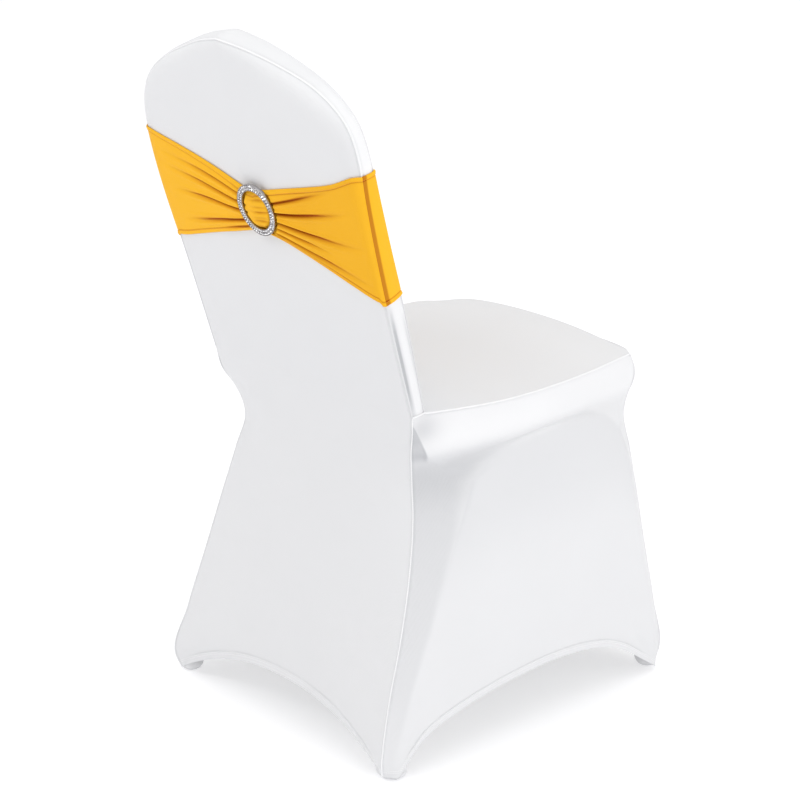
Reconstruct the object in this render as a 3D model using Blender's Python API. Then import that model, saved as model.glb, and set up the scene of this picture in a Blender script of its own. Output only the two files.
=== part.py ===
"""Stretch chair cover with a gathered sash, built as closed cloth solids.

The cover keeps the shape of the banquet chair that it is pulled over: a leaning,
crown-topped back, a seat and four splayed legs.  Metres, +Z up.  The seat faces
-Y, the back leans towards +Y, and the soles stand on z = 0.
"""

import math

import bmesh
import bpy
import numpy as np
from mathutils import Vector
from mathutils.bvhtree import BVHTree

# ---------------------------------------------------------------- cloth sizes
CLOTH = 0.0020  # thickness of the cover's stretch cloth
SASH_CLOTH = 0.0016  # thickness of the sash
HEM_TURN = 0.0010  # extra thickness of the folded hem
SEAM_PULL = 0.00055  # how far each panel stops short of its seam
OVERHANG = 0.031605  # how far the leaning back carries the box's centre past the seat's
REST_GAP = 0.0010  # between the sash and the cover that it lies on

# ------------------------------------------------- grid of the cloth surfaces
BACK_ROWS = 18  # rows from the seat corner to the crown's peak
SIDE_COLUMNS = 12  # columns between the two ridges of a side panel
GUSSET_COLUMNS = 4  # columns across the gusset, and across the rear leg's turn
FRONT_COLUMNS = 3  # columns across the front leg's turn
SHARES = (1.0, 0.985, 0.955, 0.90, 0.78, 0.57, 0.30, 0.0)  # seam to centre

# Seam behind the rear leg, from the foot pocket up to the seat corner.
REAR_LEG_SEAM = {
    "z": (0.011, 0.035, 0.100, 0.180, 0.260, 0.330, 0.380, 0.418, 0.440, 0.472),
    "half_width": (0.216, 0.220, 0.213, 0.2045, 0.1945, 0.1815, 0.170, 0.1795, 0.192, 0.199),
    "y": (0.257, 0.260, 0.2425, 0.215, 0.191, 0.1735, 0.1655, 0.175, 0.185, 0.1905),
}
# Seam before the front leg, from the foot pocket up to the seat's front corner.
FRONT_LEG_SEAM = {
    "z": (0.011, 0.035, 0.100, 0.180, 0.260, 0.330, 0.378, 0.405, 0.428, 0.466),
    "half_width": (0.216, 0.219, 0.213, 0.204, 0.194, 0.183, 0.174, 0.179, 0.187, 0.186),
    "y": (-0.264, -0.266, -0.256, -0.243, -0.233, -0.226, -0.2215, -0.2225, -0.2255, -0.226),
}
# Rear seam of the back, from the seat corner over the shoulder to the crown's
# peak, and the gusset that runs forward from it: its depth, how far its front
# seam lies above and inside the rear one, and how far it swells outward.
BACK_SEAM = {
    "half_width": (0.199, 0.2025, 0.2080, 0.2105, 0.2105, 0.200, 0.1775, 0.140, 0.090, 0.045, 0.0),
    "y": (0.1905, 0.229, 0.259, 0.2745, 0.284, 0.289, 0.293, 0.298, 0.307, 0.318, 0.327),
    "z": (0.472, 0.600, 0.700, 0.760, 0.808, 0.842, 0.867, 0.889, 0.907, 0.9205, 0.929),
    "gusset": (0.0235, 0.0285, 0.026, 0.023, 0.020, 0.020, 0.022, 0.025, 0.032, 0.040, 0.048),
    "rise": (0.0, 0.0, 0.0, 0.0, 0.0, 0.001, 0.001, 0.0015, 0.002, 0.002, 0.002),
    "inset": (0.005, 0.004, 0.0035, 0.003, 0.003, 0.003, 0.003, 0.002, 0.001, 0.0, 0.0),
    "swell": (0.001, 0.002, 0.002, 0.002, 0.003, 0.003, 0.004, 0.005, 0.006, 0.007, 0.008),
}
# Levels of a side panel, from its hem up to the seat seam.  Each level starts
# at the rear seam, turns on the rear leg's ridge, runs along the side, turns on
# the front leg's ridge and ends at the front seam.  "wide" is the half width at
# 0, 30, 65 and 100 % of the run between the ridges, "arch" lifts its middle and
# "hem" is its share of the hem's own arch.
SIDE_LEVELS = (
    {"name": "hem", "rows": 1, "rear_z": 0.011, "front_z": 0.011, "rear": (0.242, 0.011),
     "front": (-0.246, 0.011), "wide": (0.2315, 0.2265, 0.2265, 0.230),
     "hem": 1.0, "arch": 0.0, "power": 2.0},
    {"name": "hem fold", "rows": 2, "rear_z": 0.022, "front_z": 0.022, "rear": (0.241, 0.022),
     "front": (-0.247, 0.022), "wide": (0.2305, 0.2262, 0.2262, 0.229),
     "hem": 0.98, "arch": 0.0, "power": 2.0},
    {"name": "shin", "rows": 3, "rear_z": 0.100, "front_z": 0.100, "rear": (0.2165, 0.105),
     "front": (-0.2425, 0.105), "wide": (0.2245, 0.2235, 0.2235, 0.2245),
     "hem": 0.30, "arch": 0.008, "power": 2.0},
    {"name": "calf", "rows": 3, "rear_z": 0.190, "front_z": 0.190, "rear": (0.1757, 0.189),
     "front": (-0.225, 0.190), "wide": (0.2205, 0.2195, 0.2195, 0.2205),
     "hem": 0.06, "arch": 0.010, "power": 2.0},
    {"name": "knee", "rows": 3, "rear_z": 0.300, "front_z": 0.300, "rear": (0.129, 0.300),
     "front": (-0.2035, 0.300), "wide": (0.2158, 0.2150, 0.2150, 0.2155),
     "hem": 0.0, "arch": 0.006, "power": 2.0},
    {"name": "rail", "rows": 2, "rear_z": 0.365, "front_z": 0.362, "rear": (0.092, 0.378),
     "front": (-0.170, 0.383), "wide": (0.2120, 0.2110, 0.2106, 0.2110),
     "hem": 0.0, "arch": 0.028, "power": 3.0},
    {"name": "groove", "rows": 2, "rear_z": 0.403, "front_z": 0.398, "rear": (0.138, 0.392),
     "front": (-0.200, 0.402), "wide": (0.1850, 0.2055, 0.2020, 0.190),
     "hem": 0.0, "arch": 0.012, "power": 3.0},
    {"name": "band foot", "rows": 3, "rear_z": 0.434, "front_z": 0.424, "rear": (0.161, 0.413),
     "front": (-0.215, 0.424), "wide": (0.1945, 0.2085, 0.2040, 0.189),
     "hem": 0.0, "arch": 0.0, "power": 2.0},
    {"name": "seat seam", "rows": 0, "rear_z": 0.472, "front_z": 0.466, "rear": (0.167, 0.471),
     "front": (-0.217, 0.467), "wide": (0.1935, 0.2075, 0.2035, 0.1885),
     "hem": 0.0, "arch": -0.0065, "power": 2.0},
)
# Rise of the side hem along the run from the rear to the front leg.
SIDE_HEM = {
    "at": (0.0, 0.04, 0.08, 0.13, 0.20, 0.30, 0.45, 0.60, 0.72, 0.80, 0.87, 0.93, 1.0),
    "rise": (0.0, 0.0165, 0.0323, 0.0419, 0.0502, 0.0584, 0.0660, 0.0687, 0.0635, 0.0543,
             0.0392, 0.0206, 0.0),
}
WIDE_AT = (0.0, 0.30, 0.65, 1.0)
RAIL_LEVEL = 5  # above the rail the levels are joined by straight runs
SOFT_WEIGHT = 0.35  # how much the side panels' inner points give to their neighbours
EVEN_RUN = 0.45  # share of the even spacing between the ridges

# Centre line of the rear panel below the seat, against the seam's height.
REAR_CENTRE = {
    "seam_z": (0.011, 0.100, 0.190, 0.260, 0.330, 0.380, 0.440, 0.472),
    "z": (0.065, 0.128, 0.200, 0.264, 0.331, 0.380, 0.440, 0.472),
    "y": (0.243, 0.232, 0.2185, 0.208, 0.1995, 0.195, 0.195, 0.1985),
    "flat": (2.0, 2.4, 2.6, 2.8, 3.0, 3.5, 8.0, 16.0),
}
# Centre line of the front panel below the seat, against the seam's height.
FRONT_CENTRE = {
    "seam_z": (0.011, 0.100, 0.190, 0.300, 0.362, 0.398, 0.424, 0.466),
    "z": (0.068, 0.130, 0.202, 0.304, 0.364, 0.400, 0.426, 0.468),
    "y": (-0.256, -0.253, -0.249, -0.244, -0.241, -0.239, -0.239, -0.237),
    "flat": (2.0, 2.4, 2.6, 3.0, 3.5, 4.0, 4.0, 4.0),
}
# Centre line of the seat's top, from its front edge to the crease at the back.
SEAT_CENTRE = {
    "share": (0.0, 0.04, 0.12, 0.35, 0.60, 0.85, 0.96, 1.0),
    "y": (-0.237, -0.227, -0.198, -0.112, -0.018, 0.080, 0.126, 0.142),
    "z": (0.468, 0.478, 0.484, 0.487, 0.487, 0.483, 0.479, 0.480),
}
ARCH_POWER = 2.3  # roundness of the rear and front hem arches
SEAT_CROWN = 2.6  # roundness of the seat's top, side to side

BACK_LEAN = 0.290  # how far the back goes to +Y for each unit of height
BACK_FOOT_Y = 0.1985  # centre of the rear panel at the seat's height
SEAT_Z = 0.472  # height of the seat corner
BACK_BULGE = 0.003  # swell of the rear panel's middle
BULGE_RISE = 0.15  # height above the seat over which the swell grows
ROLL_WIDTH = 0.013  # over which the rear panel rolls round the frame
ROLL_GAIN = 0.30  # how fast the roll's power grows with the back's half width
ROLL_LEAST = 0.085  # half width below which the power stays the same
CREASE_FADE = 0.020  # height over which the seat's crease blends into the back
CENTRE_RISE = 0.8  # spreads the back's rows along its centre line
PEAK_CENTRE_Z = 0.845  # where the row through the crown's peak ends
ROUND_WEIGHT = 0.12  # metres of extra sampling for each radian of the outline
# Thickness of the padded back at its centre, by height.
BACK_PAD = {
    "z": (0.472, 0.600, 0.750, 0.850, 0.935),
    "thick": (0.057, 0.060, 0.057, 0.055, 0.053),
}
PAD_POWER = 3.0
BACK_HEART = (0.0, 0.25, 0.60)  # a point inside the back, from which outward is told

# Foot pockets: centre of each sole and the profile of the little cup, as a
# share of its rim's reach.  The rim meets the hem, and rises inside the cover.
FEET = {"rear_left": (0.2140, 0.2385), "rear_right": (-0.2140, 0.2385),
        "front_left": (0.2060, -0.2530), "front_right": (-0.2060, -0.2530)}
POCKET = {
    "share": (0.40, 0.62, 0.85),
    "z": (0.0, 0.0014, 0.0052),
}
POCKET_REACH = 0.0205  # greatest distance of the rim from the foot's centre
POCKET_CAP = 0.0185  # height of the rim where it slips inside the hem
POCKET_TAB = 0.0135  # further rise of its inner wall
POCKET_CLEAR = (0.0048, 0.0120)  # distances inside the hem between which it rises
POCKET_GAP = 0.0006  # between the rim and the hem
POCKET_SIDES = 26
POCKET_SOLE = 0.0024  # thickness of the sole at its centre
POCKET_WALL_RISE = 0.0012  # how far the lining lies above the outside

# Sash: height of its edges against the distance from the ring, on the +X and
# the -X half of the back, then round the gusset and across the front.
SASH_EDGES = {
    "away": (0.000, 0.022, 0.045, 0.070, 0.100, 0.150, 0.195, 0.2255),
    "top_left": (0.7395, 0.7410, 0.7480, 0.7560, 0.7642, 0.7763, 0.7860, 0.7915),
    "top_right": (0.7410, 0.7450, 0.7500, 0.7555, 0.7620, 0.7725, 0.7870, 0.7925),
    "bottom_left": (0.6850, 0.6832, 0.6778, 0.6718, 0.6647, 0.6528, 0.6426, 0.6380),
    "bottom_right": (0.6845, 0.6810, 0.6762, 0.6695, 0.6610, 0.6455, 0.6303, 0.6265),
}
SASH_AHEAD = {"bottom": 0.6340, "top": 0.8000}
SASH_ROWS = 18
SASH_STAND_OFF = 0.012  # of the points from which the sash is laid on the cover
# Columns round the back: beside the ring by distance from its centre, then on
# the rear by distance from the back's centre; round the gusset by heading
# (0 = rearward, 90 = sideways) and by share of its depth; on the front by
# distance from the back's centre.
NEAR_COLUMNS = (0.0, 0.009, 0.018, 0.024, 0.030, 0.037, 0.046, 0.060)
FAR_COLUMNS = (0.092, 0.118, 0.145, 0.168, 0.186, 0.1965, 0.2035)
TURN_COLUMNS = ((12, 0.0), (40, 0.0), (70, 0.0), (86, 0.25), (90, 0.5), (94, 0.75),
                (105, 1.0), (130, 1.0), (152, 1.0))
FRONT_COLUMNS_X = (0.188, 0.160, 0.125, 0.085, 0.035)
# Soft folds that run into the ring: side (+1 is +X), place across the band at
# the ring and at its far end (0 bottom, 1 top), reach, depth, half width.
FOLDS = (
    {"side": -1, "ring": 0.76, "far": 0.93, "reach": 0.190, "deep": 0.0052, "wide": 0.070},
    {"side": -1, "ring": 0.55, "far": 0.64, "reach": 0.150, "deep": 0.0058, "wide": 0.066},
    {"side": -1, "ring": 0.35, "far": 0.42, "reach": 0.170, "deep": 0.0046, "wide": 0.062},
    {"side": -1, "ring": 0.17, "far": 0.20, "reach": 0.190, "deep": 0.0050, "wide": 0.060},
    {"side": 1, "ring": 0.80, "far": 0.86, "reach": 0.180, "deep": 0.0036, "wide": 0.060},
    {"side": 1, "ring": 0.62, "far": 0.68, "reach": 0.190, "deep": 0.0050, "wide": 0.066},
    {"side": 1, "ring": 0.44, "far": 0.46, "reach": 0.180, "deep": 0.0046, "wide": 0.060},
    {"side": 1, "ring": 0.25, "far": 0.20, "reach": 0.170, "deep": 0.0052, "wide": 0.066},
)
PUFF = 0.0065  # how far the gathered cloth stands off beside the ring
PUFF_REACH = 0.110  # over which the cloth settles back onto the cover
PRESSED = 0.0014  # what is left of the puff under the ring's rim
RIM = {"half": 0.62, "slope": 0.55}  # share of the rim's width that presses, and the rise beside it
FOLD_BLEND = (-0.020, 0.012)  # distances past the ring's centre between which a fold deepens
FOLD_FADE = 0.25  # share of a fold's reach after which it fades
BAR = {"rise": 0.0035, "wide": 0.011}  # swell over the slider's bar, inside the ring

# Ring slider that the sash is gathered through.
RING = {"x": -0.0125, "along": 0.2555, "outer": 0.0347, "width": 0.0085, "thick": 0.0046,
        "off": 0.0050}
RING_SIDES = 36
RING_SECTION = 8  # sides of its rounded section
RING_ROUND = 0.7  # below 1 squares the section

# -------------------------------------------------------------------- finishes
COVER_WHITE = (0.86, 0.86, 0.87, 1.0)
SASH_GOLD = (0.91, 0.42, 0.030, 1.0)
RING_SILVER = (0.72, 0.72, 0.74, 1.0)


# ---------------------------------------------------------------- small maths
def smooth_at(knots, values, at):
    """Smooth curve through the values, read at any place between the knots."""
    knots = np.asarray(knots, float)
    values = np.asarray(values, float)
    at = np.clip(at, knots[0], knots[-1])
    slopes = np.gradient(values, knots)
    i = np.clip(np.searchsorted(knots, at, side="right") - 1, 0, len(knots) - 2)
    step = knots[i + 1] - knots[i]
    f = (at - knots[i]) / step
    start = (2 * f**3 - 3 * f**2 + 1) * values[i]
    start += (f**3 - 2 * f**2 + f) * step * slopes[i]
    end = (3 * f**2 - 2 * f**3) * values[i + 1]
    end += (f**3 - f**2) * step * slopes[i + 1]
    return start + end


def soft_step(value, low, high):
    """0 below low, 1 above high, smooth between them."""
    f = np.clip((value - low) / (high - low), 0.0, 1.0)
    return f * f * (3 - 2 * f)


def unit(vectors):
    """Vectors scaled to length one."""
    length = np.linalg.norm(vectors, axis=-1, keepdims=True)
    return vectors / np.maximum(length, 1e-12)


def mirrored(grid):
    """The same grid on the other side of x = 0, its columns kept in order."""
    return grid * np.array([-1.0, 1.0, 1.0])


# --------------------------------------------------------- the cover's outline
def side_stations():
    """Level numbers, with fractions, of the rows of a side panel."""
    stations = []
    for number, level in enumerate(SIDE_LEVELS[:-1]):
        stations += [number + k / level["rows"] for k in range(level["rows"])]
    return np.array(stations + [len(SIDE_LEVELS) - 1.0])


def level_column(pick, stations):
    """One value of the side's levels at each station: soft below the rail."""
    values = np.array([pick(level) for level in SIDE_LEVELS])
    numbers = np.arange(len(SIDE_LEVELS))
    soft = smooth_at(numbers[1:RAIL_LEVEL + 1], values[1:RAIL_LEVEL + 1], stations)
    straight = np.interp(stations, numbers, values)
    between = (stations >= 1) & (stations <= RAIL_LEVEL)
    return np.where(between, soft, straight)


def leg_seam(table, heights):
    """Points of a leg's seam on the -X side at the given heights."""
    wide = smooth_at(table["z"], table["half_width"], heights)
    deep = smooth_at(table["z"], table["y"], heights)
    return np.stack([-wide, deep, heights], axis=1)


def back_outline():
    """Rear and front seam of the gusset and its swell, on the -X side."""
    knots = np.arange(len(BACK_SEAM["z"]))
    fine = np.linspace(0, knots[-1], 600)
    read = {name: smooth_at(knots, values, fine) for name, values in BACK_SEAM.items()}
    line = np.stack([-read["half_width"], read["y"], read["z"]], axis=1)
    steps = np.diff(line, axis=0)
    heading = np.unwrap(np.arctan2(steps[:, 2], steps[:, 0]))
    turn = np.abs(np.diff(heading, prepend=heading[0]))
    run = np.concatenate([[0], np.cumsum(np.linalg.norm(steps, axis=1) + ROUND_WEIGHT * turn)])
    at = np.interp(np.linspace(0, run[-1], BACK_ROWS + 1), run, fine)
    read = {name: smooth_at(knots, values, at) for name, values in BACK_SEAM.items()}
    rear = np.stack([-read["half_width"], read["y"], read["z"]], axis=1)
    rear[0] = leg_seam(REAR_LEG_SEAM, np.array([SEAT_Z]))[0]
    rear[-1, 0] = 0.0
    move = np.stack([read["inset"], -read["gusset"], read["rise"]], axis=1)
    front = rear + move
    front[-1, 0] = 0.0
    return rear, front, read["swell"]


def gusset_half():
    """Grid of the gusset on the -X side, from the seat corner to the peak."""
    rear, front, swell = back_outline()
    along = unit(np.gradient(rear, axis=0))
    along[-1] = (1.0, 0.0, 0.0)
    outward = unit(np.cross(along, front - rear))
    outward *= np.sign(np.sum(outward * (rear - BACK_HEART), axis=1))[:, None]
    outward[-1, 0] = 0.0
    share = np.linspace(0, 1, GUSSET_COLUMNS + 1)[None, :, None]
    flat = rear[:, None] * (1 - share) + front[:, None] * share
    return flat + (4 * share * (1 - share)) * swell[:, None, None] * outward[:, None]


def side_grid(gusset):
    """Grid of the -X side panel: rows from hem to seat, columns rear to front."""
    stations = side_stations()
    rear_seam = leg_seam(REAR_LEG_SEAM, level_column(lambda r: r["rear_z"], stations))
    front_seam = leg_seam(FRONT_LEG_SEAM, level_column(lambda r: r["front_z"], stations))
    even = np.linspace(0, 1, SIDE_COLUMNS + 1)
    run = EVEN_RUN * even + (1 - EVEN_RUN) * (0.5 - 0.5 * np.cos(math.pi * even))
    columns = {}
    for end in ("rear", "front"):
        for axis in (0, 1):
            columns[end, axis] = level_column(lambda r, e=end, a=axis: r[e][a], stations)
    wide = np.stack([level_column(lambda r, k=k: r["wide"][k], stations) for k in range(4)], axis=1)
    arch = level_column(lambda r: r["arch"], stations)
    hem = level_column(lambda r: r["hem"], stations)
    hem_rise = smooth_at(SIDE_HEM["at"], SIDE_HEM["rise"], run)
    power = level_column(lambda r: r["power"], stations)
    rows = []
    for i in range(len(stations)):
        y = columns["rear", 0][i] * (1 - run) + columns["front", 0][i] * run
        z = columns["rear", 1][i] * (1 - run) + columns["front", 1][i] * run
        z = z + arch[i] * (1 - np.abs(2 * run - 1) ** power[i]) + hem[i] * hem_rise
        x = -smooth_at(WIDE_AT, wide[i], run)
        side = np.stack([x, y, z], axis=1)
        turn = np.linspace(0, 1, GUSSET_COLUMNS + 1)[:-1, None]
        rear_turn = rear_seam[i] * (1 - turn) + side[0] * turn
        turn = np.linspace(0, 1, FRONT_COLUMNS + 1)[1:, None]
        front_turn = side[-1] * (1 - turn) + front_seam[i] * turn
        rows.append(np.concatenate([rear_turn, side, front_turn]))
    grid = np.array(rows)
    grid[-1, :GUSSET_COLUMNS + 1] = gusset[0]
    return soften(grid)


def soften(grid, weight=SOFT_WEIGHT):
    """One pass of smoothing of a grid's inner points; its edges stay put."""
    around = (grid[2:, 1:-1] + grid[:-2, 1:-1] + grid[1:-1, 2:] + grid[1:-1, :-2]) / 4
    soft = grid.copy()
    soft[1:-1, 1:-1] = grid[1:-1, 1:-1] * (1 - weight) + around * weight
    return soft


def rear_plane(z):
    """Depth of the flat rear of the back at a height."""
    return BACK_FOOT_Y + BACK_LEAN * (z - SEAT_Z)


def front_plane(z):
    """Depth of the padded front of the back, on its centre line."""
    return rear_plane(z) - smooth_at(BACK_PAD["z"], BACK_PAD["thick"], z)


def both_sides(half):
    """Half rows from seam to centre, joined to their mirror images."""
    return np.concatenate([half, mirrored(half)[:, -2::-1]], axis=1)


def leg_rows(seam, centre, z_power):
    """Rows below the seat, from a leg's seam to the centre line."""
    share = np.array(SHARES)[None, :]
    z_seam = seam[:, 2:3]
    z_mid = smooth_at(centre["seam_z"], centre["z"], z_seam)
    y_mid = smooth_at(centre["seam_z"], centre["y"], z_seam)
    flat = smooth_at(centre["seam_z"], centre["flat"], z_seam)
    x = seam[:, 0:1] * share
    y = y_mid + (seam[:, 1:2] - y_mid) * share**flat
    z = z_mid + (z_seam - z_mid) * share**z_power
    return np.stack([x, y, z], axis=2)


def back_rows(seam, plane, power):
    """Rows of the back, from the gusset's seam to the centre line."""
    share = np.array(SHARES)[None, :]
    count = len(seam)
    step = np.linalg.norm(np.diff(seam, axis=0), axis=1)
    run = np.concatenate([[0], np.cumsum(step)])
    low = seam[0, 2]
    z_mid = (low + (PEAK_CENTRE_Z - low) * (run / run[-1]) ** CENTRE_RISE)[:, None]
    z = z_mid + (seam[:, 2:3] - z_mid) * share
    x = seam[:, 0:1] * share
    drop = seam[:, 1:2] - plane(seam[:, 2:3])
    y = plane(z) + drop * share ** power.reshape(count, 1)
    return np.stack([x, y, z], axis=2)


def rear_grid(side, gusset):
    """Rear panel, from the hem between the rear legs to the crown's peak."""
    low = leg_rows(side[:, 0], REAR_CENTRE, ARCH_POWER)
    seam = gusset[:, 0]
    wider = np.maximum(np.abs(seam[:, 0]), ROLL_LEAST) - BACK_SEAM["half_width"][0]
    power = REAR_CENTRE["flat"][-1] + ROLL_GAIN * wider / ROLL_WIDTH
    high = back_rows(seam, rear_plane, power)
    high[..., 1] += BACK_BULGE * (1 - np.array(SHARES)[None, :] ** 2) * lifted(high[..., 2])
    return both_sides(np.concatenate([low, high[1:]]))


def lifted(z):
    """0 at the seat, 1 from the middle of the back upwards."""
    return soft_step(z, SEAT_Z, SEAT_Z + BULGE_RISE)


def front_grid(side, gusset):
    """Front panel: skirt, seat top and inner back in one long piece."""
    skirt = leg_rows(side[:, -1], FRONT_CENTRE, ARCH_POWER)
    seam = side[-1, GUSSET_COLUMNS:][::-1]
    step = np.linalg.norm(np.diff(seam, axis=0), axis=1)
    run = np.concatenate([[0], np.cumsum(step)])
    run = (run / run[-1])[:, None]
    y_mid = smooth_at(SEAT_CENTRE["share"], SEAT_CENTRE["y"], run)
    z_mid = smooth_at(SEAT_CENTRE["share"], SEAT_CENTRE["z"], run)
    share = np.array(SHARES)[None, :]
    x = seam[:, 0:1] * share
    y = y_mid + (seam[:, 1:2] - y_mid) * share**2
    z = z_mid + (seam[:, 2:3] - z_mid) * share**SEAT_CROWN
    seat = np.stack([x, y, z], axis=2)
    back = back_rows(gusset[:, -1], front_plane, np.full(len(gusset), PAD_POWER))
    first = back[0].copy()
    fade = np.exp(-((back[:, :1, 2:3] - first[:1, 2:3]) / CREASE_FADE) ** 2)
    back = back + (seat[-1] - first)[None] * fade
    return both_sides(np.concatenate([skirt, seat[1:], back[1:]]))


# ------------------------------------------------------------- closed sheets
def quads(rows, columns, flip, closed=False):
    """Faces of a grid; a closed grid's last column meets its first."""
    faces = []
    for i in range(rows - 1):
        for j in range(columns if closed else columns - 1):
            k = (j + 1) % columns
            face = (i * columns + j, (i + 1) * columns + j, (i + 1) * columns + k, i * columns + k)
            faces.append(face[::-1] if flip else face)
    return faces


def welded(points, faces):
    """Points that coincide made one, and the faces that collapse dropped."""
    _, first, index = np.unique(
        np.round(points, 6), axis=0, return_index=True, return_inverse=True
    )
    index = index.reshape(-1)
    kept = []
    for face in faces:
        ring = [int(index[v]) for v in face]
        ring = [v for k, v in enumerate(ring) if v != ring[k - 1]]
        if len(ring) > 2:
            kept.append(tuple(ring))
    return points[first], kept


def point_normals(points, faces):
    """Area-weighted normal at each point."""
    normals = np.zeros_like(points)
    for face in faces:
        corners = points[list(face)]
        middle = corners.mean(axis=0)
        area = np.zeros(3)
        for k in range(len(face)):
            area += np.cross(corners[k - 1] - middle, corners[k] - middle)
        for v in face:
            normals[v] += area
    return normals


def shared_normals(sheets):
    """Normals that the sheets agree on along their common seams."""
    pool = {}
    for points, faces in sheets.values():
        for point, normal in zip(np.round(points, 5), point_normals(points, faces)):
            key = tuple(point + 0.0)
            pool[key] = pool.get(key, 0) + normal
    agreed = {}
    for name, (points, _) in sheets.items():
        agreed[name] = unit(np.array([pool[tuple(p + 0.0)] for p in np.round(points, 5)]))
    return agreed


def border_edges(faces):
    """Directed edges that only one face uses."""
    seen = {}
    for face in faces:
        for k in range(len(face)):
            edge = (face[k - 1], face[k])
            seen[frozenset(edge)] = None if frozenset(edge) in seen else edge
    return [edge for edge in seen.values() if edge]


def pulled_in(points, faces, pull):
    """Move of each border point towards the sheet's own middle."""
    border = border_edges(faces)
    inward = np.zeros_like(points)
    tangent = np.zeros_like(points)
    for a, b in border:
        tangent[a] += points[b] - points[a]
        tangent[b] += points[b] - points[a]
    on_border = {v for edge in border for v in edge}
    for face in faces:
        middle = points[list(face)].mean(axis=0)
        for v in face:
            if v in on_border:
                inward[v] += unit(middle - points[v])
    tangent = unit(tangent)
    inward -= tangent * np.sum(inward * tangent, axis=1, keepdims=True)
    return unit(inward) * pull


def thick_sheet(points, faces, normals, thickness, pull):
    """Closed body between a sheet's outer points and the same points inside."""
    move = pulled_in(points, faces, pull)
    outer = points + move
    inner = points - normals * np.reshape(thickness, (-1, 1)) + move
    count = len(points)
    body = [tuple(face) for face in faces]
    body += [tuple(v + count for v in reversed(face)) for face in faces]
    body += [(b, a, a + count, b + count) for a, b in border_edges(faces)]
    return np.concatenate([outer, inner]), body


# --------------------------------------------------------------------- objects
def finish(name, colour, roughness, metallic=0.0, sheen=0.0):
    """Principled material with the part's own colour."""
    material = bpy.data.materials.new(name)
    material.use_nodes = True
    shader = material.node_tree.nodes["Principled BSDF"]
    shader.inputs["Base Color"].default_value = colour
    shader.inputs["Roughness"].default_value = roughness
    shader.inputs["Metallic"].default_value = metallic
    shader.inputs["Sheen Weight"].default_value = sheen
    return material


def add_object(name, points, faces, material):
    """Named object of the given points and faces, smooth but for its edges."""
    mesh = bpy.data.meshes.new(name)
    points = np.asarray(points) - (0.0, OVERHANG, 0.0)
    mesh.from_pydata([tuple(map(float, p)) for p in points], [], faces)
    work = bmesh.new()
    work.from_mesh(mesh)
    bmesh.ops.triangulate(work, faces=work.faces[:], quad_method="SHORT_EDGE")
    work.to_mesh(mesh)
    work.free()
    mesh.materials.append(material)
    mesh.shade_smooth()
    mesh.set_sharp_from_angle(angle=math.radians(40))
    thing = bpy.data.objects.new(name, mesh)
    bpy.context.collection.objects.link(thing)
    return thing


def cover_grids():
    """Outer surfaces of the cover's panels as grids, and whether each is flipped."""
    gusset = gusset_half()
    side = side_grid(gusset)
    band = np.concatenate([gusset, mirrored(gusset)[-2::-1]])
    return {
        "rear_panel": (rear_grid(side, gusset), False),
        "front_panel": (front_grid(side, gusset), True),
        "side_panel_right": (side, True),
        "side_panel_left": (mirrored(side), False),
        "back_gusset": (band, True),
    }


def cover_sheets(grids):
    """The panels' grids as welded points and faces, by name."""
    sheets = {}
    for name, (grid, flip) in grids.items():
        faces = quads(grid.shape[0], grid.shape[1], flip)
        sheets[name] = welded(grid.reshape(-1, 3), faces)
    return sheets


def hem_near(grids, centre):
    """The hem's outer edge on both sides of a foot, as one line."""
    side = grids["side_panel_left" if centre[0] > 0 else "side_panel_right"][0][0]
    skirt = grids["rear_panel" if centre[1] > 0 else "front_panel"][0][0]
    side = side if centre[1] > 0 else side[::-1]
    skirt = skirt if centre[0] < 0 else skirt[::-1]
    half = len(skirt) // 2
    return np.concatenate([skirt[half::-1], side[1:len(side) // 2]])


def hem_thickness(points, hem):
    """Cloth thickness at each point: the hem's own points are thicker."""
    low = {tuple(p) for p in np.round(hem, 5) + 0.0}
    turned = np.array([tuple(p) in low for p in np.round(points, 5) + 0.0])
    return np.where(turned, CLOTH + HEM_TURN, CLOTH)


def build_cover(grids, sheets, material):
    """The five sewn panels of the cover."""
    normals = shared_normals(sheets)
    hemmed = [grid[:2].reshape(-1, 3) for name, (grid, _) in grids.items() if name != "back_gusset"]
    hem = np.concatenate(hemmed)
    for name, (points, faces) in sheets.items():
        thickness = hem_thickness(points, hem)
        body = thick_sheet(points, faces, normals[name], thickness, SEAM_PULL)
        add_object(name, *body, material)


def hem_hit(hem, centre, heading):
    """Distance and height at which a level ray from the foot meets the hem."""
    ray = np.array([math.cos(heading), math.sin(heading)])
    across = np.array([-ray[1], ray[0]])
    flat = hem[:, :2] - np.array(centre)
    side = flat @ across
    for a in range(len(hem) - 1):
        if side[a] * side[a + 1] > 0 or side[a] == side[a + 1]:
            continue
        share = side[a] / (side[a] - side[a + 1])
        spot = hem[a] * (1 - share) + hem[a + 1] * share
        reach = float((spot[:2] - np.array(centre)) @ ray)
        if 0 < reach < 2 * POCKET_REACH:
            return reach, float(spot[2])
    return math.inf, math.inf


def hem_clearance(hem, spot):
    """Level distance from a point to the nearest stretch of the hem."""
    start = hem[:-1, :2]
    run = hem[1:, :2] - start
    share = np.sum((spot - start) * run, axis=1) / np.maximum(np.sum(run * run, axis=1), 1e-12)
    nearest = start + np.clip(share, 0, 1)[:, None] * run
    return float(np.linalg.norm(spot - nearest, axis=1).min())


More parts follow.
